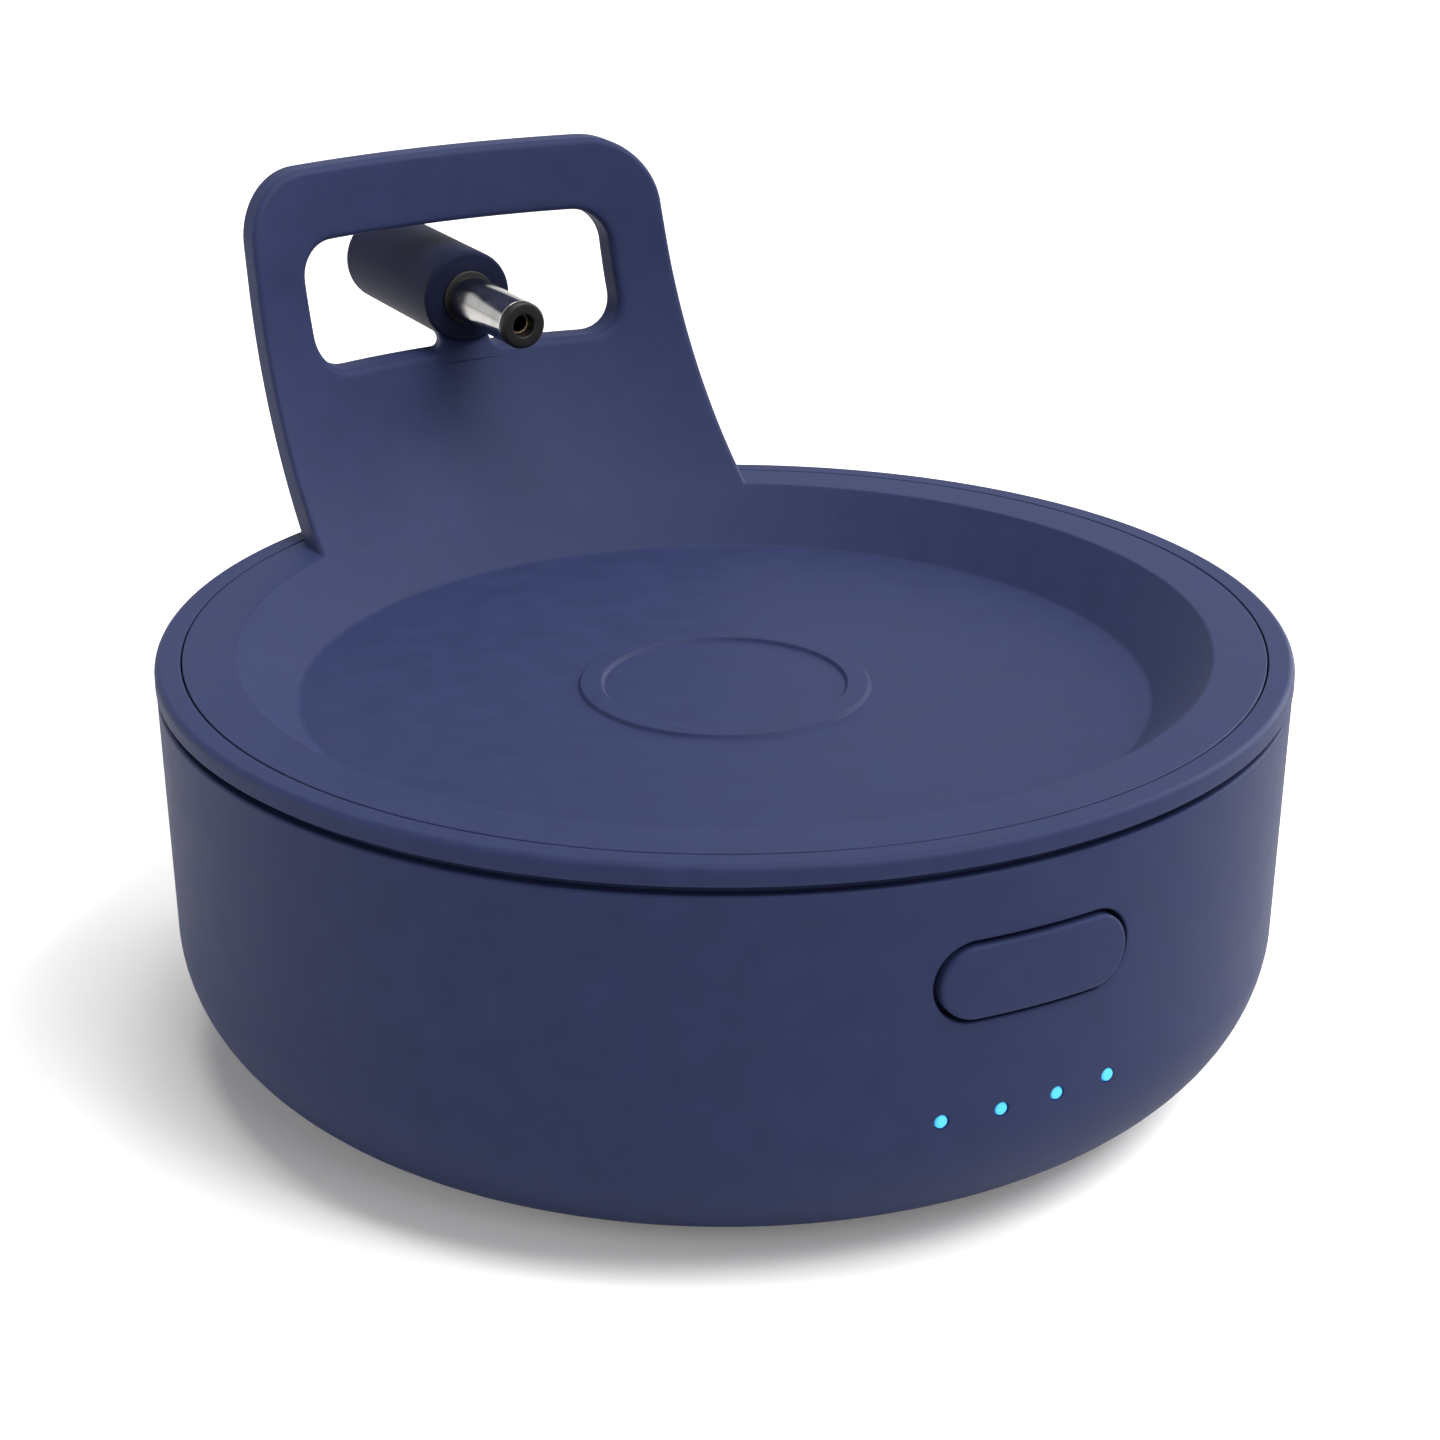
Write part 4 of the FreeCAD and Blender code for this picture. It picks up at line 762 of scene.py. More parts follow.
def side_outline():
    """The arm's outline above the stitch row: up its right side, over the top and down its left side."""
    corner_low = ARM_RISE - CORNER
    middle = Vector((half_width(corner_low) - CORNER, corner_low))
    right = [(Vector((half_width(rise), rise)), Vector((1, 0)))
             for rise in steps_between(STITCH, corner_low, SIDE_STEPS)]
    right.append((middle + Vector((CORNER, 0)), Vector((1, 0))))
    right += arc_points(middle, CORNER, 0, 90, CORNER_STEPS)
    top = [(Vector((middle.x * (1 - 2 * k / PANEL_COLUMNS), ARM_RISE)), Vector((0, 1)))
           for k in range(1, PANEL_COLUMNS // 2)]
    return right + top + [(Vector((0, ARM_RISE)), Vector((0, 1)))] + mirrored(top) + mirrored(right)


# %% The window's outline
WIN_FLAT_STEPS = 20
WIN_CORNER_STEPS = 24
WIN_SIDE_STEPS = 8
WIN_TOP_STEPS = 10


def even(points, count):
    """Resamples a run of (place, direction) to count equal steps."""
    lengths = [0]
    for (a, _), (b, _) in zip(points, points[1:]):
        lengths.append(lengths[-1] + (b - a).length)
    run = []
    for k in range(count + 1):
        want = lengths[-1] * k / count
        n = max(i for i in range(len(points) - 1) if lengths[i] <= want + 1e-12)
        share = (want - lengths[n]) / (lengths[n + 1] - lengths[n])
        (a, out_a), (b, out_b) = points[n], points[n + 1]
        run.append((a.lerp(b, share), out_a.lerp(out_b, share).normalized()))
    return run


def window_outline(side_count):
    """The window's outline, with a point for each of the ring round it: the bottom comes first."""
    x = WIN_HALF - WIN_CORNER
    low, high = WIN_LOW + WIN_CORNER, WIN_HIGH - WIN_CORNER
    half_corner = WIN_CORNER_STEPS // 2
    down, right, up = Vector((0, -1)), Vector((1, 0)), Vector((0, 1))
    bottom = [(Vector((x * k / WIN_FLAT_STEPS, WIN_LOW)), down) for k in range(WIN_FLAT_STEPS + 1)]
    bottom += arc_points(Vector((x, low)), WIN_CORNER, -90, -45, half_corner)
    bottom = mirrored(bottom[1:]) + bottom
    side = [bottom[-1]] + arc_points(Vector((x, low)), WIN_CORNER, -45, 0, half_corner)
    for k in range(1, WIN_SIDE_STEPS + 1):
        side.append((Vector((WIN_HALF, low + (high - low) * k / WIN_SIDE_STEPS)), right))
    side += arc_points(Vector((x, high)), WIN_CORNER, 0, 90, WIN_CORNER_STEPS)
    for k in range(1, WIN_TOP_STEPS + 1):
        side.append((Vector((x * (1 - k / WIN_TOP_STEPS), WIN_HIGH)), up))
    side = even(side, side_count)
    return even(bottom, PANEL_COLUMNS)[:-1] + side + mirrored(side)[1:-1]


print("window %.1f by %.1f mm" % (2 * WIN_HALF / MM, (WIN_HIGH - WIN_LOW) / MM))


# %% The arm's skins
ARM_LOOPS = 9


def panel_place(row, column, depth):
    half = half_width(panel_rows[row]) - ARM_ROUND
    return on_arm(half * (2 * column / PANEL_COLUMNS - 1), panel_rows[row], depth)


def arm_skin(bm, depth, cells_left_out):
    """A front or back skin. Returns the window's ring, the outline's and the panel's grid."""
    outline = side_outline()
    panel = []
    for row in range(len(panel_rows)):
        spots = [panel_place(row, column, depth) for column in range(PANEL_COLUMNS + 1)]
        panel.append([bm.verts.new(spot) for spot in spots])
    for n, (row, next_row) in enumerate(zip(panel, panel[1:])):
        for k in range(PANEL_COLUMNS):
            if (n, k) not in cells_left_out:
                bm.faces.new([row[k], row[k + 1], next_row[k + 1], next_row[k]])
    around = [p - out * ARM_ROUND for p, out in outline[1:-1]]
    outer = panel[-1] + [bm.verts.new(on_arm(p.x, p.y, depth)) for p in around]
    flat_outer = [Vector((v.co.x, v.co.z - RIM_Z)) for v in outer]
    window = window_outline((len(outline) - 1) // 2)
    ring = outer
    for k in range(1, ARM_LOOPS + 1):
        share = k / ARM_LOOPS
        places = [a.lerp(p + out * ARM_ROUND, share) for a, (p, out) in zip(flat_outer, window)]
        fresh = [bm.verts.new(on_arm(p.x, p.y, depth)) for p in places]
        bridge(bm, ring, fresh)
        ring = fresh
    left_side = [row[0] for row in panel]
    right_side = [row[-1] for row in panel]
    return ring, right_side + outer[PANEL_COLUMNS + 1:] + left_side[::-1], panel


# %% The arm's edges
EDGE_RINGS = 5


def rim_steps(radius):
    """Inset and depth of each ring of a rounded edge, from the face to the side."""
    turns = [pi / 2 * k / EDGE_RINGS for k in range(1, EDGE_RINGS + 1)]
    return [(radius * (1 - sin(turn)), radius * (1 - cos(turn))) for turn in turns]


def arm_edge_outline():
    """The whole outline that shows: up the right side from the lap, over the top and down again."""
    right = [(Vector((half_width(rise), rise)), Vector((1, 0))) for rise in panel_rows[:-1]]
    return right + side_outline() + mirrored(right)


def roll(bm, ring, outline, inset_way, depth_from, depth_way, closed):
    """Rolls a rounded edge off a skin. Returns its rings, and the last one lies on the plain side."""
    rings = [ring]
    for inset, deep in rim_steps(ARM_ROUND):
        depth = depth_from + depth_way * deep
        places = [p + out * inset * inset_way for p, out in outline]
        rings.append([bm.verts.new(on_arm(p.x, p.y, depth)) for p in places])
    for a, b in zip(rings, rings[1:]):
        bridge(bm, a, b, closed)
    return rings


# %% Lay the arm's skins and close them with rounded edges
COVER_SPAN = 8
COVER_T = 1.2 * MM
first, last = PANEL_COLUMNS // 2 - COVER_SPAN, PANEL_COLUMNS // 2 + COVER_SPAN
low_row, high_row = panel_rows.index(COVER_LOW), panel_rows.index(COVER_HIGH)
pocket = {(row, column) for row in range(low_row, high_row) for column in range(first, last)}
window = window_outline((len(side_outline()) - 1) // 2)
front_window, front_edge, front_panel = arm_skin(tray, -LAP_PROUD, set())
back_window, back_edge, back_panel = arm_skin(tray, ARM_T, pocket)

front_rings = roll(tray, front_edge, arm_edge_outline(), -1, 0, 1, False)
back_rings = roll(tray, back_edge, arm_edge_outline(), -1, ARM_T, -1, False)
bridge(tray, front_rings[-1], back_rings[-1], False)
bridge(tray, roll(tray, front_window, window, 1, 0, 1, True)[-1],
       roll(tray, back_window, window, 1, ARM_T, -1, True)[-1])

# %% Close the arm's foot, inside the tray
right_foot = [ring[0] for ring in front_rings[1:]] + [ring[0] for ring in reversed(back_rings[1:])]
left_foot = [ring[-1] for ring in front_rings[1:]] + [ring[-1] for ring in reversed(back_rings[1:])]
tray.faces.new(front_panel[0] + right_foot + back_panel[0][::-1] + left_foot[::-1])
print("tray and arm so far:", len(tray.faces), "faces")

# %% The pocket for the cover over the wires
floor = {}
for row in range(low_row, high_row + 1):
    for column in range(first, last + 1):
        floor[row, column] = tray.verts.new(panel_place(row, column, ARM_T - COVER_T))
for row, column in sorted(pocket):
    low_pair = [floor[row, column], floor[row, column + 1]]
    tray.faces.new(low_pair + [floor[row + 1, column + 1], floor[row + 1, column]])
rim = [(low_row, c) for c in range(first, last)] + [(r, last) for r in range(low_row, high_row)]
rim += [(high_row, c) for c in range(last, first, -1)]
rim += [(r, first) for r in range(high_row, low_row, -1)]
bridge(tray, [back_panel[r][c] for r, c in rim], [floor[place] for place in rim])
print("arm: rises %.1f mm, wires' pocket of %d cells" % (ARM_RISE / MM, len(pocket)))

# %% [markdown]
# ## The saddle under the plug
#
# The plug's housing isn't a tube stuck on a plate: the window's lower edge rises to meet it, with a
# small hollow round on each side, a little larger at the front than at the back. That web is drawn
# as an outline between the two rounds, and the same bending function lays it flush with the arm.
# Its top lies inside the housing, so only the two hollow rounds show.

# %% Saddle
HOUSING_R = 4.8 * MM
SADDLE_R = 0.75 * MM
SADDLE_FRONT_R = 1.2 * MM
SADDLE_ROOT = 1.0 * MM
SADDLE_STEPS = 16
PLUG_RISE = PLUG_Z - RIM_Z


def saddle_outline(radius):
    """Outline points by x and rise, each with the direction its rounded edge is inset in."""
    gap = PLUG_RISE - WIN_LOW
    reach = HOUSING_R + radius
    middle = Vector((sqrt(reach ** 2 - (gap - radius) ** 2), WIN_LOW + radius))
    end = 180 - degrees(atan2(gap - radius, middle.x))
    tip = middle + radius * Vector((cos(radians(end)), sin(radians(end))))
    right = [(tip, (tip - middle).normalized())] + arc_points(middle, radius, end, 270, SADDLE_STEPS)
    right.append((Vector((middle.x, WIN_LOW - SADDLE_ROOT)), Vector((0, 0))))
    return right + mirrored(right)


saddle_front = -LAP_PROUD
saddle_back = ARM_T + LAP_PROUD
rings = []
steps = [(ARM_ROUND, 0)] + rim_steps(ARM_ROUND)
depths = [(inset, saddle_front + deep) for inset, deep in steps]
depths += [(inset, saddle_back - deep) for inset, deep in reversed(steps)]
for inset, depth in depths:
    share = (depth - saddle_front) / (saddle_back - saddle_front)
    outline = saddle_outline(SADDLE_FRONT_R + (SADDLE_R - SADDLE_FRONT_R) * share)
    places = [p + out * inset for p, out in outline]
    rings.append([tray.verts.new(on_arm(p.x, p.y, depth)) for p in places])
for ring, next_ring in zip(rings, rings[1:]):
    bridge(tray, ring, next_ring)
tray.faces.new(rings[0])
tray.faces.new(rings[-1])
show("tray_and_arm", tray, "base", "case_plastic", "dish_tray_and_arm")

# %% [markdown]
# ## The cover on the arm's back
#
# The plug's two wires run down a groove in the arm, and a thin plate set flush into the back hides
# them. Its edge is eased a little, so that the joint reads as a fine line. It uses the arm's
# bending function too, and so it follows the arm's curve exactly.

# %% Rear cover
COVER_HALF = 7.9 * MM
COVER_SEAM = 0.15 * MM
COVER_EASE = 0.2 * MM
COVER_EASE_RINGS = 3
COVER_BED = 0.02 * MM
COVER_COLUMNS = 16


def cover_spots(inset):
    """Places across the cover and up it, inset from its edge."""
    half = COVER_HALF - inset
    low, high = COVER_LOW + COVER_SEAM + inset, COVER_HIGH - COVER_SEAM - inset
    xs = steps_between(-half, half, COVER_COLUMNS) + [half]
    return xs, steps_between(low, high, COVER_ROWS) + [high]


def cover_ring(bm, inset, depth):
    """A ring of vertices round the cover."""
    xs, rises = cover_spots(inset)
    low, high = rises[0], rises[-1]
    path = [(x, low) for x in xs[:-1]] + [(xs[-1], rise) for rise in rises[:-1]]
    path += [(-x, high) for x in xs[:-1]] + [(xs[0], low + high - rise) for rise in rises[:-1]]
    return [bm.verts.new(on_arm(x, rise, depth)) for x, rise in path]


def cover_face(bm, inset, depth):
    """A grid inside the cover's outline. Returns its border in the same order as cover_ring."""
    xs, rises = cover_spots(inset)
    rows = [[bm.verts.new(on_arm(x, rise, depth)) for x in xs] for rise in rises]
    for row, next_row in zip(rows, rows[1:]):
        bridge(bm, row, next_row, closed=False)
    side = [row[-1] for row in rows[:-1]]
    back = [row[0] for row in reversed(rows[1:])]
    return rows[0][:-1] + side + rows[-1][:0:-1] + back


# %% Build the cover
bm = bmesh.new()
ring = cover_face(bm, COVER_EASE, ARM_T)
for k in range(1, COVER_EASE_RINGS + 1):
    turn = pi / 2 * k / COVER_EASE_RINGS
    fresh = cover_ring(bm, COVER_EASE * (1 - sin(turn)), ARM_T - COVER_EASE * (1 - cos(turn)))
    bridge(bm, ring, fresh)
    ring = fresh
bridge(bm, ring, cover_face(bm, 0, ARM_T - COVER_T + COVER_BED))
show("rear_cover", bm, "base", "case_plastic", "arm_rear_cover")

# %% [markdown]
# ## The plug
#
# Seen from the tip, a barrel plug is a black ring, a bright sleeve, a black collar at its foot and
# then the moulded housing, with the centre contact deep inside the bore. Each is a turned piece
# about the plug's axis. Lengths come from the CAD nodes' boxes. Only radii and edge rounds are
# named here.

# %% Turned pieces about the plug's axis
PLUG_TURNS = 96
HOUSING_TURNS = 128


def plug_piece(name, slot, node, corners, closed, turns=PLUG_TURNS):
    """A turned piece on the plug's axis from corners (radius, along Y, round)."""
    bm = bmesh.new()
    sweep(bm, rounded(corners, closed), along_y(0, PLUG_Z), turns, closed)
    show(name, bm, "base", slot, node)


# %% Housing and rear cap
HOUSING_WALL = 1.2 * MM
HOUSING_MOUTH = 0.1 * MM
HOUSING_ROUND = 0.45 * MM
COLLAR_STEM_R = 2.7 * MM
CAP_ROUND = 0.8 * MM
CAP_SEAM = 0.06 * MM
CAP_SPIGOT_LEN = 2 * MM
CAP_BORE_R = 2 * MM
housing_y, housing_end_y = (corner.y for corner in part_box("plug_housing"))
cap_end_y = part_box("plug_rear_cap")[1].y
bore_r = HOUSING_R - HOUSING_WALL
plug_piece("plug_housing", "case_plastic", "plug_housing", [
    (COLLAR_STEM_R, housing_y, HOUSING_MOUTH), (HOUSING_R, housing_y, HOUSING_ROUND),
    (HOUSING_R, housing_end_y, CAP_SEAM), (bore_r, housing_end_y, CAP_SEAM),
    (bore_r, housing_y + HOUSING_WALL, 0), (COLLAR_STEM_R, housing_y + HOUSING_WALL, 0)],
    True, HOUSING_TURNS)

spigot_y = housing_end_y - CAP_SPIGOT_LEN
plug_piece("plug_rear_cap", "case_plastic", "plug_rear_cap", [
    (0, cap_end_y, 0), (HOUSING_R, cap_end_y, CAP_ROUND), (HOUSING_R, housing_end_y, CAP_SEAM),
    (bore_r - SEAT_GAP, housing_end_y, 0), (bore_r - SEAT_GAP, spigot_y, 0), (CAP_BORE_R, spigot_y, 0),
    (CAP_BORE_R, housing_end_y, 0), (0, housing_end_y, 0)], False, HOUSING_TURNS)

# %% Collar and sleeve
SLEEVE_R = (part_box("plug_sleeve")[1].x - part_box("plug_sleeve")[0].x) / 2
SLEEVE_BORE_R = 1.8 * MM
SLEEVE_TAIL_R = 2.15 * MM
SLEEVE_TIP_EDGE = 0.08 * MM
SLEEVE_FOOT_EDGE = 0.02 * MM
COLLAR_R = 2.8 * MM
COLLAR_GAP = 0.02 * MM
COLLAR_ROUND = 0.15 * MM
COLLAR_FOOT = 0.05 * MM
SLIP = 0.01 * MM
stem_r = COLLAR_STEM_R - SLIP
collar_y, collar_end_y = (corner.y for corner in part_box("plug_collar"))
plug_piece("plug_collar", "plug_black", "plug_collar", [
    (SLEEVE_TAIL_R, collar_y, 0), (SLEEVE_R + COLLAR_GAP, collar_y, 0),
    (COLLAR_R, collar_y, COLLAR_ROUND), (COLLAR_R, housing_y, COLLAR_FOOT),
    (stem_r, housing_y, 0), (stem_r, collar_end_y, 0), (SLEEVE_TAIL_R, collar_end_y, 0)], True)
sleeve_y, sleeve_end_y = (corner.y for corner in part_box("plug_sleeve"))
plug_piece("plug_sleeve", "plug_metal", "plug_sleeve", [
    (SLEEVE_BORE_R, sleeve_y, 0), (SLEEVE_R, sleeve_y, SLEEVE_TIP_EDGE),
    (SLEEVE_R, collar_y, SLEEVE_FOOT_EDGE), (SLEEVE_TAIL_R, collar_y, 0),
    (SLEEVE_TAIL_R, sleeve_end_y, 0), (SLEEVE_BORE_R, sleeve_end_y, 0)], True)

# %% Tip ring and centre contact
TIP_ROUND = 0.35 * MM
TIP_MOUTH = 0.15 * MM
TIP_SEAM = 0.03 * MM
CONTACT_R = 1.15 * MM
CONTACT_BORE_R = 0.85 * MM
CONTACT_BORE_DEEP = 9 * MM
CONTACT_MOUTH = 0.1 * MM
CONTACT_EDGE = 0.05 * MM
tube_r = SLEEVE_BORE_R - SLIP
tip_y, insulator_end_y = (corner.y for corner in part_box("plug_insulator"))
plug_piece("plug_tip_ring", "plug_black", "plug_insulator", [
    (CONTACT_R, tip_y, TIP_MOUTH), (SLEEVE_R, tip_y, TIP_ROUND), (SLEEVE_R, sleeve_y, TIP_SEAM),
    (tube_r, sleeve_y, 0), (tube_r, insulator_end_y, 0), (CONTACT_R, insulator_end_y, 0)], True)
contact_y, contact_end_y = (corner.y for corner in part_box("plug_contact"))
contact_foot_y = contact_y + CONTACT_BORE_DEEP
plug_piece("plug_contact", "contact_brass", "plug_contact", [
    (0, contact_foot_y, 0), (CONTACT_BORE_R, contact_foot_y, 0),
    (CONTACT_BORE_R, contact_y, CONTACT_MOUTH),
    (CONTACT_R - SLIP, contact_y, CONTACT_EDGE), (CONTACT_R - SLIP, contact_end_y, 0),
    (0, contact_end_y, 0)], False)

# %% [markdown]
# ## The charge inlet
#
# The base charges through a socket at the back. A round nose fills the hole in the wall and sits
# half a millimetre below it, with a centre pin inside its bore. The moulded body behind it doesn't
# show, so four plain blocks round the nose's tube make it, and the CAD's leads go on from there.

# %% Inlet nose and body
INLET_NOSE_R = 3.3 * MM
INLET_BORE_R = 2.55 * MM
INLET_BODY_LEN = 12 * MM
NOSE_ROUND = 0.25 * MM
NOSE_MOUTH = 0.3 * MM
BORE_FOOT = 0.1 * MM
BODY_EASE = 0.3 * MM
pin_low, pin_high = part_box("inlet_pin")
body_back_y = inlet_low.y + INLET_BODY_LEN
nose_foot_y = inlet_low.y + BODY_EASE
nose = rounded([
    (0, nose_foot_y, 0), (INLET_NOSE_R, nose_foot_y, 0), (INLET_NOSE_R, inlet_high.y, NOSE_ROUND),
    (INLET_BORE_R, inlet_high.y, NOSE_MOUTH), (INLET_BORE_R, pin_low.y, BORE_FOOT),
    (0, pin_low.y, 0)], False)
bm = bmesh.new()
sweep(bm, nose, along_y(0, INLET_Z), PLUG_TURNS, False)


def eased_block(bm, low, high, ease):
    """A block with small chamfered edges, from its low and high corners."""
    box = bmesh.ops.create_cube(bm, size=1)
    size = high - low
    bmesh.ops.scale(bm, vec=size, verts=box["verts"])
    bmesh.ops.translate(bm, vec=(low + high) / 2, verts=box["verts"])
    edges = list({edge for vertex in box["verts"] for edge in vertex.link_edges})
    bmesh.ops.bevel(bm, geom=edges, offset=ease, segments=3, affect="EDGES", profile=0.5)


# blocks beside, below and above the nose's tube leave the socket's bore open
for low_x, high_x, low_z, high_z in (
        (inlet_low.x, -INLET_NOSE_R, inlet_low.z, inlet_high.z),
        (INLET_NOSE_R, inlet_high.x, inlet_low.z, inlet_high.z),
        (-INLET_NOSE_R, INLET_NOSE_R, inlet_low.z, INLET_Z - INLET_NOSE_R),
        (-INLET_NOSE_R, INLET_NOSE_R, INLET_Z + INLET_NOSE_R, inlet_high.z)):
    corners = Vector((low_x, inlet_low.y, low_z)), Vector((high_x, body_back_y, high_z))
    eased_block(bm, *corners, BODY_EASE)
show("inlet_socket", bm, "base", "plug_black", "inlet_body")

# %% Inlet pin
PIN_TIP = 0.3 * MM
INLET_PIN_TURNS = 48
inlet_pin_r = (pin_high.x - pin_low.x) / 2
pin_profile = rounded([
    (0, pin_low.y, 0), (inlet_pin_r, pin_low.y, 0), (inlet_pin_r, pin_high.y, PIN_TIP),
    (0, pin_high.y, 0)], False)
bm = bmesh.new()
sweep(bm, pin_profile, along_y(0, INLET_Z), INLET_PIN_TURNS, False)
show("inlet_pin", bm, "base", "contact_brass", "inlet_pin")

# %% [markdown]
# ## Groups shared by the finishes
#
# No moulding is one flat colour. Three effects turn up in nearly every finish here, so each is
# built once as a node group: a moulded grain, wear where an edge stands out, and fine dust on what
# faces up. A group puts out a mask or a height, never a shader, so that each material keeps its own
# shader and its plain numbers.

# %% Helpers for node trees
def node(tree, kind, **settings):
    """Adds a node. A setting that names an input gives its value, and any other is the node's own."""
    fresh = tree.nodes.new("ShaderNode" + kind)
    for key, value in settings.items():
        if hasattr(fresh, key):
            setattr(fresh, key, value)
        else:
            fresh.inputs[key.replace("_", " ")].default_value = value
    return fresh


def new_group(name, inputs, outputs):
    """A shader node group with float sockets. Returns its tree and its input and output nodes."""
    tree = bpy.data.node_groups.new(name, "ShaderNodeTree")
    for socket in inputs:
        tree.interface.new_socket(socket, in_out="INPUT", socket_type="NodeSocketFloat")
    for socket in outputs:
        tree.interface.new_socket(socket, in_out="OUTPUT", socket_type="NodeSocketFloat")
    return tree, tree.nodes.new("NodeGroupInput"), tree.nodes.new("NodeGroupOutput")


# %% Moulded grain
def make_grain_group():
    """Height is a fine grain like a spark-eroded mould. Mottle is a slow change over the surface."""
    tree, given, out = new_group(
        "moulded grain", ["Grains per m", "Mottles per m"], ["Height", "Mottle"])
    place = node(tree, "TexCoord")
    grain = node(tree, "TexNoise", Detail=3.0, Roughness=0.6)
    mottle = node(tree, "TexNoise", Detail=2.0, Roughness=0.5)
    for texture, scale in ((grain, "Grains per m"), (mottle, "Mottles per m")):
        tree.links.new(place.outputs["Object"], texture.inputs["Vector"])
        tree.links.new(given.outputs[scale], texture.inputs["Scale"])
    spread = node(tree, "MapRange", From_Min=0.3, From_Max=0.7)
    tree.links.new(mottle.outputs["Fac"], spread.inputs["Value"])
    tree.links.new(grain.outputs["Fac"], out.inputs["Height"])
    tree.links.new(spread.outputs["Result"], out.inputs["Mottle"])
    return tree


# %% Edge wear
WEAR_REACH = 0.4 * MM
WEAR_SAMPLES = 4


def make_wear_group():
    """Mask is 1 near an edge, where a softened normal leaves the real one, broken up by noise."""
    tree, given, out = new_group("edge wear", ["Start", "Full", "Amount"], ["Mask"])
    place = node(tree, "TexCoord")
    shape = node(tree, "NewGeometry")
    softened = node(tree, "Bevel", samples=WEAR_SAMPLES, Radius=WEAR_REACH)
    agree = node(tree, "VectorMath", operation="DOT_PRODUCT")
    edge = node(tree, "MapRange")
    patches = node(tree, "TexNoise", Scale=260.0, Detail=4.0)
    broken = node(tree, "MapRange", From_Min=0.35, From_Max=0.6)
    both = node(tree, "Math", operation="MULTIPLY")
    share = node(tree, "Math", operation="MULTIPLY")
    tree.links.new(softened.outputs["Normal"], agree.inputs[0])
    tree.links.new(shape.outputs["Normal"], agree.inputs[1])
    tree.links.new(agree.outputs["Value"], edge.inputs["Value"])
    tree.links.new(given.outputs["Start"], edge.inputs["From Min"])
    tree.links.new(given.outputs["Full"], edge.inputs["From Max"])
    tree.links.new(place.outputs["Object"], patches.inputs["Vector"])
    tree.links.new(patches.outputs["Fac"], broken.inputs["Value"])
    tree.links.new(edge.outputs["Result"], both.inputs[0])
    tree.links.new(broken.outputs["Result"], both.inputs[1])
    tree.links.new(both.outputs["Value"], share.inputs[0])
    tree.links.new(given.outputs["Amount"], share.inputs[1])
    tree.links.new(share.outputs["Value"], out.inputs["Mask"])
    return tree


# %% Fine dust
def make_dust_group():
    """Mask is 1 on a few tiny specks, mostly on faces that look up."""
    tree, given, out = new_group("fine dust", ["Specks per m", "Amount"], ["Mask"])
    place = node(tree, "TexCoord")
    specks = node(tree, "TexVoronoi")
    small = node(tree, "MapRange", From_Min=0.14, From_Max=0.06)
    chance = node(tree, "SeparateColor")
    few = node(tree, "Math", operation="GREATER_THAN")
    few.inputs[1].default_value = 0.9
    shape = node(tree, "NewGeometry")
    upward = node(tree, "SeparateXYZ")
    facing = node(tree, "MapRange", From_Min=0.2, From_Max=0.9, To_Min=0.15)
    tree.links.new(place.outputs["Object"], specks.inputs["Vector"])
    tree.links.new(given.outputs["Specks per m"], specks.inputs["Scale"])
    tree.links.new(specks.outputs["Distance"], small.inputs["Value"])
    tree.links.new(specks.outputs["Color"], chance.inputs["Color"])
    tree.links.new(chance.outputs["Red"], few.inputs[0])
    tree.links.new(shape.outputs["Normal"], upward.inputs["Vector"])
    tree.links.new(upward.outputs["Z"], facing.inputs["Value"])
    mask = small.outputs["Result"]
    for factor in (few.outputs["Value"], facing.outputs["Result"], given.outputs["Amount"]):
        product = node(tree, "Math", operation="MULTIPLY")
        tree.links.new(mask, product.inputs[0])
        tree.links.new(factor, product.inputs[1])
        mask = product.outputs["Value"]
    tree.links.new(mask, out.inputs["Mask"])
    return tree


GRAIN = make_grain_group()
WEAR = make_wear_group()
DUST = make_dust_group()
print("shared groups:", [group.name for group in bpy.data.node_groups])

# %% [markdown]
# ## One recipe for every moulded or plated finish
#
# All the finishes here differ in numbers, not in kind: two close colours that the mottle mixes, a
# worn colour for the edges, a dusty one, a roughness for each, and a grain of some size. So one
# function builds the tree, and each finish is a call with its own values. What doesn't change over
# a surface, such as how metallic or how glossy it is, is set straight on the shader.

# %% Place a group, or mix two colours or values
def use_group(tree, group, **values):
    placed = tree.nodes.new("ShaderNodeGroup")
    placed.node_tree = group
    for name, value in values.items():
        placed.inputs[name.replace("_", " ")].default_value = value
    return placed


def mix_colours(tree, factor, a, b):
    """A colour mix. a and b are colours or sockets."""
    mix = node(tree, "Mix", data_type="RGBA")
    tree.links.new(factor, mix.inputs["Factor"])
    for socket, value in ((mix.inputs[6], a), (mix.inputs[7], b)):
        if isinstance(value, tuple):
            socket.default_value = (*value, 1)
        else:
            tree.links.new(value, socket)
    return mix.outputs[2]


def mix_values(tree, factor, a, b):
    mix = node(tree, "Mix", data_type="FLOAT")
    tree.links.new(factor, mix.inputs["Factor"])
    for socket, value in ((mix.inputs[2], a), (mix.inputs[3], b)):
        if isinstance(value, float):
            socket.default_value = value
        else:
            tree.links.new(value, socket)
    return mix.outputs[0]


# %% The recipe
WEAR_START = 0.99
WEAR_FULL = 0.93
WEAR_AMOUNT = 0.5
ROUGH_SPREAD = 0.03
DUST_ROUGH = 0.9
SPECKS_PER_M = 900.0


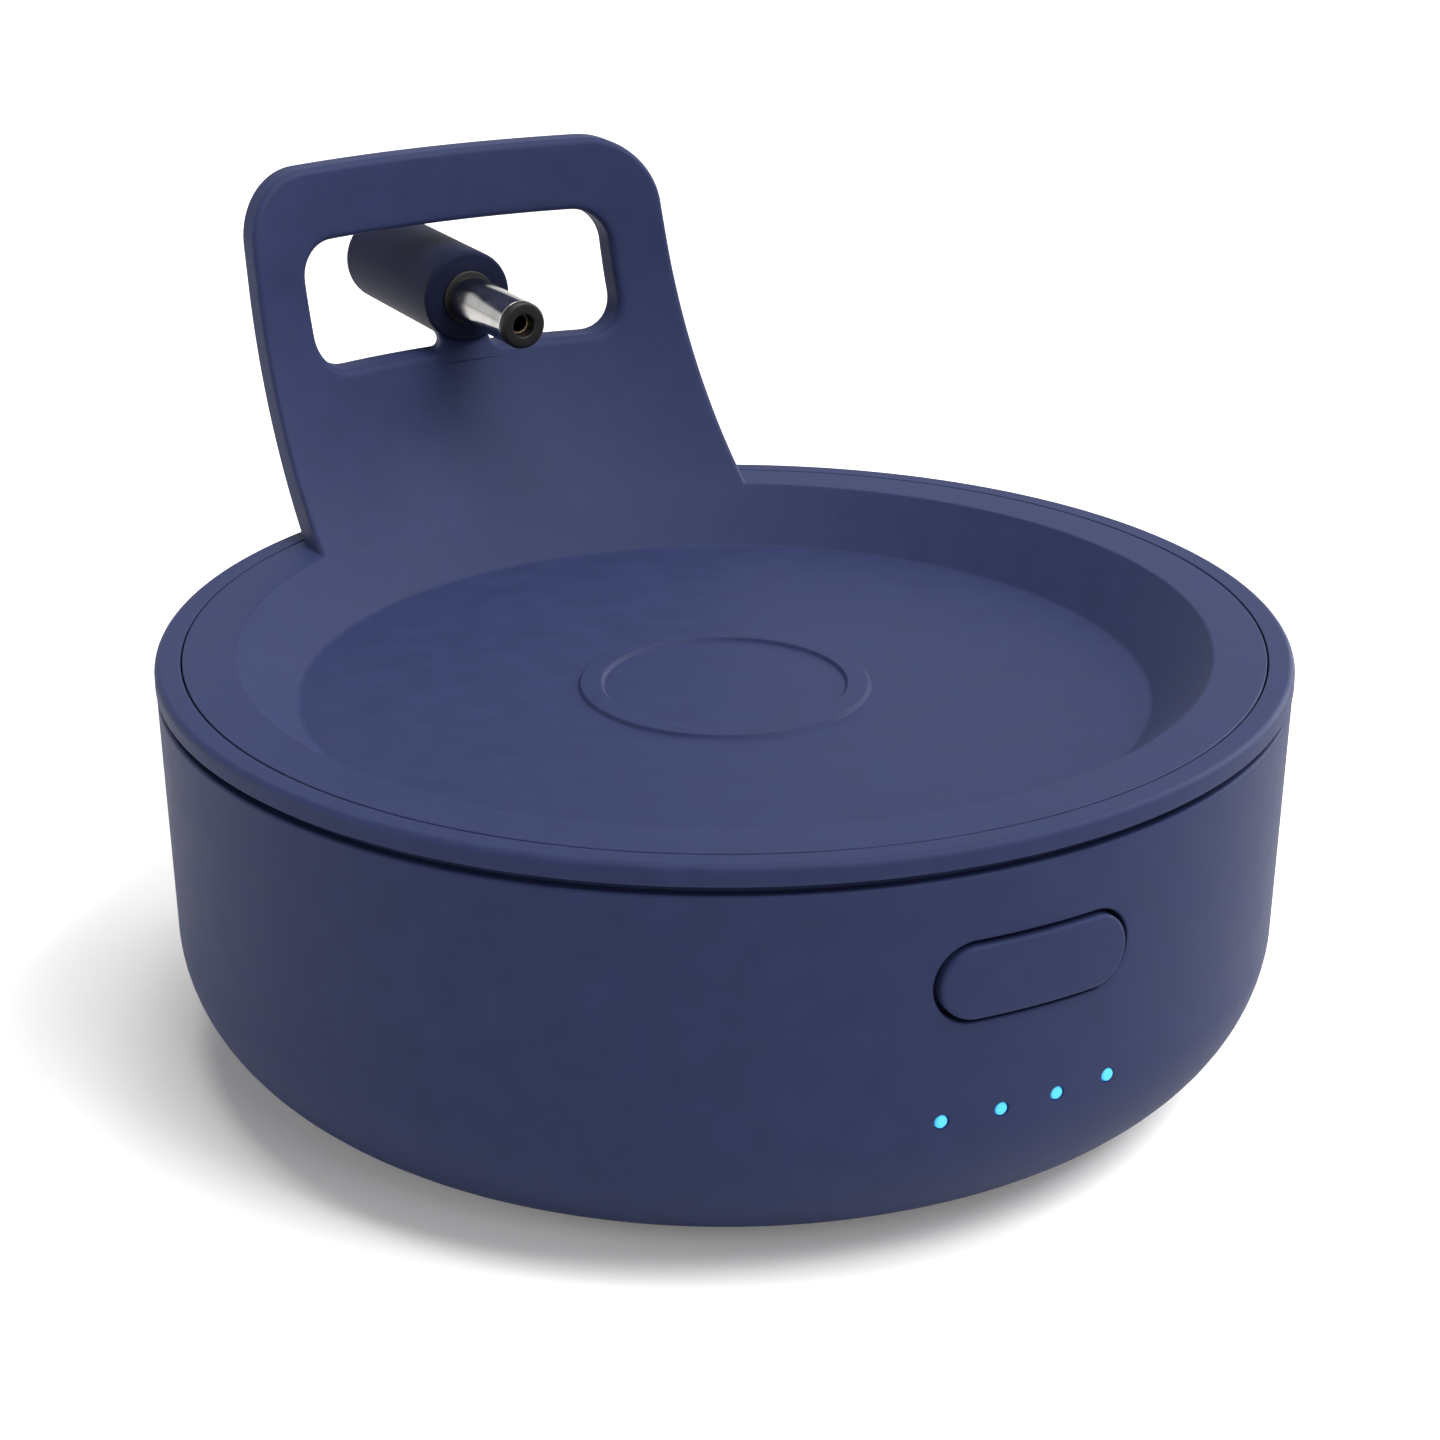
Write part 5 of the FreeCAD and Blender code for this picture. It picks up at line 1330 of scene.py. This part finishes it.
def make_finish(name, light, dark, rough, worn=None, worn_rough=0.4, dusty=None, grain=9000.0,
                mottle=60.0, bump=0.12, bump_size=0.02, dust=0.35, **plain):
    """A Principled material. light and dark are the mottle's colours, and plain sets its sockets."""
    material = bpy.data.materials.new(name)
    material.use_nodes = True
    tree = material.node_tree
    shader = tree.nodes["Principled BSDF"]
    grains = use_group(tree, GRAIN, Grains_per_m=grain, Mottles_per_m=mottle)
    colour = mix_colours(tree, grains.outputs["Mottle"], dark, light)
    roughness = mix_values(tree, grains.outputs["Mottle"], rough - ROUGH_SPREAD, rough + ROUGH_SPREAD)
    if worn:
        edges = use_group(tree, WEAR, Start=WEAR_START, Full=WEAR_FULL, Amount=WEAR_AMOUNT)
        colour = mix_colours(tree, edges.outputs["Mask"], colour, worn)
        roughness = mix_values(tree, edges.outputs["Mask"], roughness, worn_rough)
    if dusty:
        specks = use_group(tree, DUST, Specks_per_m=SPECKS_PER_M, Amount=dust)
        colour = mix_colours(tree, specks.outputs["Mask"], colour, dusty)
        roughness = mix_values(tree, specks.outputs["Mask"], roughness, DUST_ROUGH)
    surface = node(tree, "Bump", Strength=bump, Distance=bump_size * MM)
    tree.links.new(grains.outputs["Height"], surface.inputs["Height"])
    tree.links.new(colour, shader.inputs["Base Color"])
    tree.links.new(roughness, shader.inputs["Roughness"])
    tree.links.new(surface.outputs["Normal"], shader.inputs["Normal"])
    for key, value in plain.items():
        shader.inputs[key.replace("_", " ")].default_value = value
    return material


# %% [markdown]
# ## The navy soft-touch plastic
#
# The casing is painted with a soft-touch lacquer. It has almost no gloss, its edges are rubbed a
# little paler, and it has an eggshell grain that only shows close up. A low specular with a broad
# roughness gives the first, and the wear and grain groups give the others. Two close navies, mixed
# by the mottle, keep it from looking flat.

# %% Casing finishes
NAVY_LIGHT = (0.0190, 0.0260, 0.0735)
NAVY_DARK = (0.0160, 0.0222, 0.0640)
NAVY_WORN = (0.026, 0.034, 0.088)
PALE_DUST = (0.07, 0.08, 0.13)
finishes = {}
finishes["case_plastic"] = make_finish(
    "navy soft-touch plastic", NAVY_LIGHT, NAVY_DARK, 0.56, NAVY_WORN, 0.46, PALE_DUST,
    grain=5500.0, mottle=320.0, bump=0.3, bump_size=0.03, Specular_IOR_Level=0.09)
# Painted shade: a darker copy of the casing navy for the plug's housing and rear cap, standing in for
# the shade that falls on them.
shaded_plug_navy = make_finish(
    "navy plug plastic with painted shade", (0.0105, 0.0128, 0.0310), (0.0090, 0.0112, 0.0270), 0.5,
    (0.015, 0.019, 0.045), 0.42, PALE_DUST, Specular_IOR_Level=0.03)
print("casing finishes:", finishes["case_plastic"].name, "and", shaded_plug_navy.name)

# %% [markdown]
# ## The plug's black and metal, and the other finishes that show
#
# The plug's black parts are satin mouldings. The sleeve is nickel plated and turned, and long
# streaks of light lie along it. Metal shows little but what it reflects, so a mid-grey metal with a
# low roughness gives those streaks from the white room and the dark arm beside it. The anisotropy
# draws them out along the sleeve.

# %% Finishes of the pieces that show
finishes["plug_black"] = make_finish(
    "satin black plastic", (0.009, 0.009, 0.0095), (0.006, 0.006, 0.0065), 0.4,
    (0.02, 0.02, 0.021), 0.34, (0.1, 0.1, 0.1), grain=12000.0, dust=0.2, Specular_IOR_Level=0.2)
finishes["plug_metal"] = make_finish(
    "nickel plate", (0.46, 0.455, 0.445), (0.37, 0.365, 0.355), 0.15, (0.62, 0.61, 0.6), 0.11,
    grain=20000.0, mottle=500.0, bump=0.06, Metallic=1.0, Anisotropic=0.5)
# Painted shade: these brass colours are far darker than brass, standing in for the shade deep inside the
# plug's bore; the inlet's pin gets them too.
finishes["contact_brass"] = make_finish(
    "turned brass", (0.16, 0.12, 0.07), (0.11, 0.085, 0.05), 0.3, (0.3, 0.24, 0.14), 0.22,
    grain=15000.0, mottle=700.0, bump=0.05, Metallic=1.0)
finishes["pad_rubber"] = make_finish(
    "matt rubber", (0.022, 0.022, 0.024), (0.014, 0.014, 0.015), 0.8, (0.05, 0.05, 0.052), 0.7,
    (0.16, 0.155, 0.15), grain=5000.0, bump=0.3, bump_size=0.05, dust=0.8, Specular_IOR_Level=0.3)

# %% [markdown]
# ## The lit pins
#
# A light pin glows: the diode behind it sends blue light out of its domed face. Emission gives the
# glow, and the dome's centre is a little paler than its rim, which Layer Weight does without
# painting anything on. The pin's sides glow too, but they are hidden in the wall.

# %% Lit blue
def make_lit_pin():
    material = make_finish(
        "lit blue pin", (0.04, 0.40, 0.80), (0.03, 0.34, 0.72), 0.25, grain=12000.0, bump=0.02,
        Specular_IOR_Level=0.3, Emission_Strength=0.5)
    tree = material.node_tree
    facing = node(tree, "LayerWeight", Blend=0.35)
    glow = mix_colours(tree, facing.outputs["Facing"], (0.10, 0.52, 0.92), (0.02, 0.28, 0.70))
    tree.links.new(glow, tree.nodes["Principled BSDF"].inputs["Emission Color"])
    return material


finishes["light_blue"] = make_lit_pin()
print("finishes that show:", len(finishes) + 1)

# %% [markdown]
# ## Finishes inside the casing
#
# The works inside don't show at rest, but the part is reused and may be opened or seen through a
# cutaway. So each gets its own finish from the same recipe: green solder mask, shrink sleeve, foam,
# epoxy, drawn aluminium.

# %% Inner finishes
finishes["lead_cover"] = make_finish(
    "soft lead insulation", (0.036, 0.036, 0.04), (0.024, 0.024, 0.028), 0.55, grain=6000.0, bump=0.1)
finishes["plunger_plastic"] = make_finish(
    "pale acetal", (0.62, 0.60, 0.52), (0.56, 0.54, 0.46), 0.4, (0.7, 0.68, 0.6), 0.3, bump=0.05)
finishes["circuit_board"] = make_finish(
    "green solder mask", (0.014, 0.105, 0.048), (0.008, 0.075, 0.034), 0.25, (0.2, 0.16, 0.07), 0.4,
    grain=2500.0, mottle=400.0, bump=0.1, bump_size=0.03, Coat_Weight=0.3)
finishes["light_chip"] = make_finish(
    "white lamp chip", (0.82, 0.82, 0.77), (0.76, 0.75, 0.68), 0.3, bump=0.03)
finishes["inner_plastic"] = make_finish(
    "plain grey-black moulding", (0.058, 0.058, 0.063), (0.042, 0.042, 0.047), 0.5,
    (0.1, 0.1, 0.105), 0.45, grain=5000.0, bump=0.15)
finishes["cell_wrap"] = make_finish(
    "blue shrink sleeve", (0.026, 0.14, 0.34), (0.018, 0.11, 0.27), 0.22, (0.1, 0.22, 0.42), 0.3,
    grain=1500.0, mottle=150.0, bump=0.15, bump_size=0.05, Coat_Weight=0.4)
finishes["foam"] = make_finish(
    "closed-cell foam", (0.062, 0.062, 0.064), (0.036, 0.036, 0.038), 0.9, grain=2500.0, mottle=1200.0,
    bump=0.7, bump_size=0.15)
finishes["chip_black"] = make_finish(
    "moulded epoxy", (0.026, 0.026, 0.027), (0.017, 0.017, 0.018), 0.6, (0.06, 0.06, 0.06), 0.5,
    bump=0.2)
finishes["can_aluminium"] = make_finish(
    "drawn aluminium", (0.74, 0.74, 0.75), (0.62, 0.62, 0.64), 0.3, (0.85, 0.85, 0.86), 0.22,
    grain=14000.0, mottle=600.0, bump=0.06, Metallic=1.0)

# %% Put the finishes on
# These pieces wear the darker navy copy, which is painted shade.
PAINTED_SHADE_PIECES = ("plug_housing", "plug_rear_cap")
slots = {part["node"]: part["material_slot"] for part in frame["record"]["subparts"]}


def wear_finish(piece, material):
    piece.data.materials.clear()
    piece.data.materials.append(material)


for name, node_object in frame["nodes"].items():
    wear_finish(node_object, finishes[slots[name]])
for name, (piece, slot) in made.items():
    wear_finish(piece, shaded_plug_navy if name in PAINTED_SHADE_PIECES else finishes[slot])
print("%d finishes on %d CAD nodes and %d pieces" % (len(finishes) + 1, len(slots), len(made)))

# %% [markdown]
# ## Floor, light and camera
#
# A product studio stands the object on a pale floor in a white room. The floor's own grey takes the
# shadow, and an emission that only the camera sees lifts the rest of it to white, so the white
# costs no extra light on the object. The world is white to the camera and to reflections, and a
# weak plain fill to everything else. Six soft lamps give the shapes their shading: a key lamp in
# front and above, one overhead, and weaker ones round it.

# %% Pale floor
FLOOR_HALF = 3.0
FLOOR_CELLS = 12
FLOOR_GREY = (0.90, 0.885, 0.875)
FLOOR_LIFT = 0.12
WHITE = (1, 1, 1, 1)


def make_floor():
    bm = bmesh.new()
    lines = steps_between(-FLOOR_HALF, FLOOR_HALF, FLOOR_CELLS) + [FLOOR_HALF]
    rows = [[bm.verts.new((x, y, 0)) for x in lines] for y in lines]
    for row, next_row in zip(rows, rows[1:]):
        bridge(bm, row, next_row, closed=False)
    mesh = bpy.data.meshes.new("floor")
    bmesh.ops.recalc_face_normals(bm, faces=bm.faces)
    bm.to_mesh(mesh)
    bm.free()
    floor = bpy.data.objects.new("floor", mesh)
    bpy.context.collection.objects.link(floor)
    material = bpy.data.materials.new("pale floor")
    material.use_nodes = True
    tree = material.node_tree
    tree.nodes.clear()
    matt = node(tree, "BsdfDiffuse", Color=(*FLOOR_GREY, 1))
    lift = node(tree, "Emission", Color=WHITE)
    both = node(tree, "AddShader")
    strength = node(tree, "Math", operation="MULTIPLY")
    strength.inputs[1].default_value = FLOOR_LIFT
    out = node(tree, "OutputMaterial")
    tree.links.new(node(tree, "LightPath").outputs["Is Camera Ray"], strength.inputs[0])
    tree.links.new(strength.outputs["Value"], lift.inputs["Strength"])
    tree.links.new(matt.outputs["BSDF"], both.inputs[0])
    tree.links.new(lift.outputs["Emission"], both.inputs[1])
    tree.links.new(both.outputs["Shader"], out.inputs["Surface"])
    mesh.materials.append(material)
    return floor


make_floor()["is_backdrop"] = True
print("floor %.0f m across" % (2 * FLOOR_HALF))

# %% White world
WORLD_FILL = 0.10


def make_world():
    world = bpy.data.worlds.new("studio")
    world.use_nodes = True
    tree = world.node_tree
    back = tree.nodes["Background"]
    back.inputs["Color"].default_value = WHITE
    level = node(tree, "MapRange", To_Min=WORLD_FILL, To_Max=1.0)
    path = node(tree, "LightPath")
    seen = node(tree, "Math", operation="MAXIMUM")
    tree.links.new(path.outputs["Is Camera Ray"], seen.inputs[0])
    tree.links.new(path.outputs["Is Glossy Ray"], seen.inputs[1])
    tree.links.new(seen.outputs["Value"], level.inputs["Value"])
    tree.links.new(level.outputs["Result"], back.inputs["Strength"])
    bpy.context.scene.world = world


make_world()
print("world: %.2f to the object, 1 to the camera" % WORLD_FILL)

# %% Soft lamps
LAMP_SIZE = 1.0
LAMP_AWAY = 2.0
LAMP_AIM = Vector((0, 0, 0.03))


def softbox(name, around, up, watts):
    """A square lamp. Degrees: around from the front by the right side, up from the floor."""
    light = bpy.data.lights.new(name, "AREA")
    light.size = LAMP_SIZE
    light.energy = watts
    turn, rise = radians(around), radians(up)
    away = Vector((sin(turn) * cos(rise), -cos(turn) * cos(rise), sin(rise)))
    lamp = bpy.data.objects.new(name, light)
    lamp.location = LAMP_AWAY * away + LAMP_AIM
    lamp.rotation_euler = away.to_track_quat("Z", "Y").to_euler()
    bpy.context.collection.objects.link(lamp)
    print("%s: %.0f W from %d degrees round, %d up" % (name, watts, around, up))


softbox("key", 35, 55, 36)
softbox("right", 90, 40, 20)
softbox("overhead", 0, 90, 24)
softbox("right_low", 105, 12, 20)
softbox("front", 0, 30, 11)
softbox("behind_left", 245, 8, 17)

# %% Camera
SENSOR_MM = 36
LENS_MM = 80.31
STANDS_AT = Vector((-0.136206, -0.242221, 0.142590))
LOOKS_AT = Vector((-0.00025, 0.00041, 0.03015))
camera_data = bpy.data.cameras.new("camera")
camera_data.sensor_width = SENSOR_MM
camera_data.lens = LENS_MM
camera = bpy.data.objects.new("camera", camera_data)
camera.location = STANDS_AT
camera.rotation_euler = (LOOKS_AT - camera.location).to_track_quat("-Z", "Y").to_euler()
bpy.context.collection.objects.link(camera)
bpy.context.scene.camera = camera
bpy.context.scene.view_settings.view_transform = "Standard"
print("camera %.0f mm from what it looks at" % ((LOOKS_AT - STANDS_AT).length / MM))

# %% Print the sizes and finish
seen_low, seen_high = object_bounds()
sizes = {"cad": [list(cad_low), list(cad_high)], "visual": [list(seen_low), list(seen_high)]}
for key, box in sizes.items():
    print(key, "box in mm:", [[round(v / MM, 2) for v in corner] for corner in box])
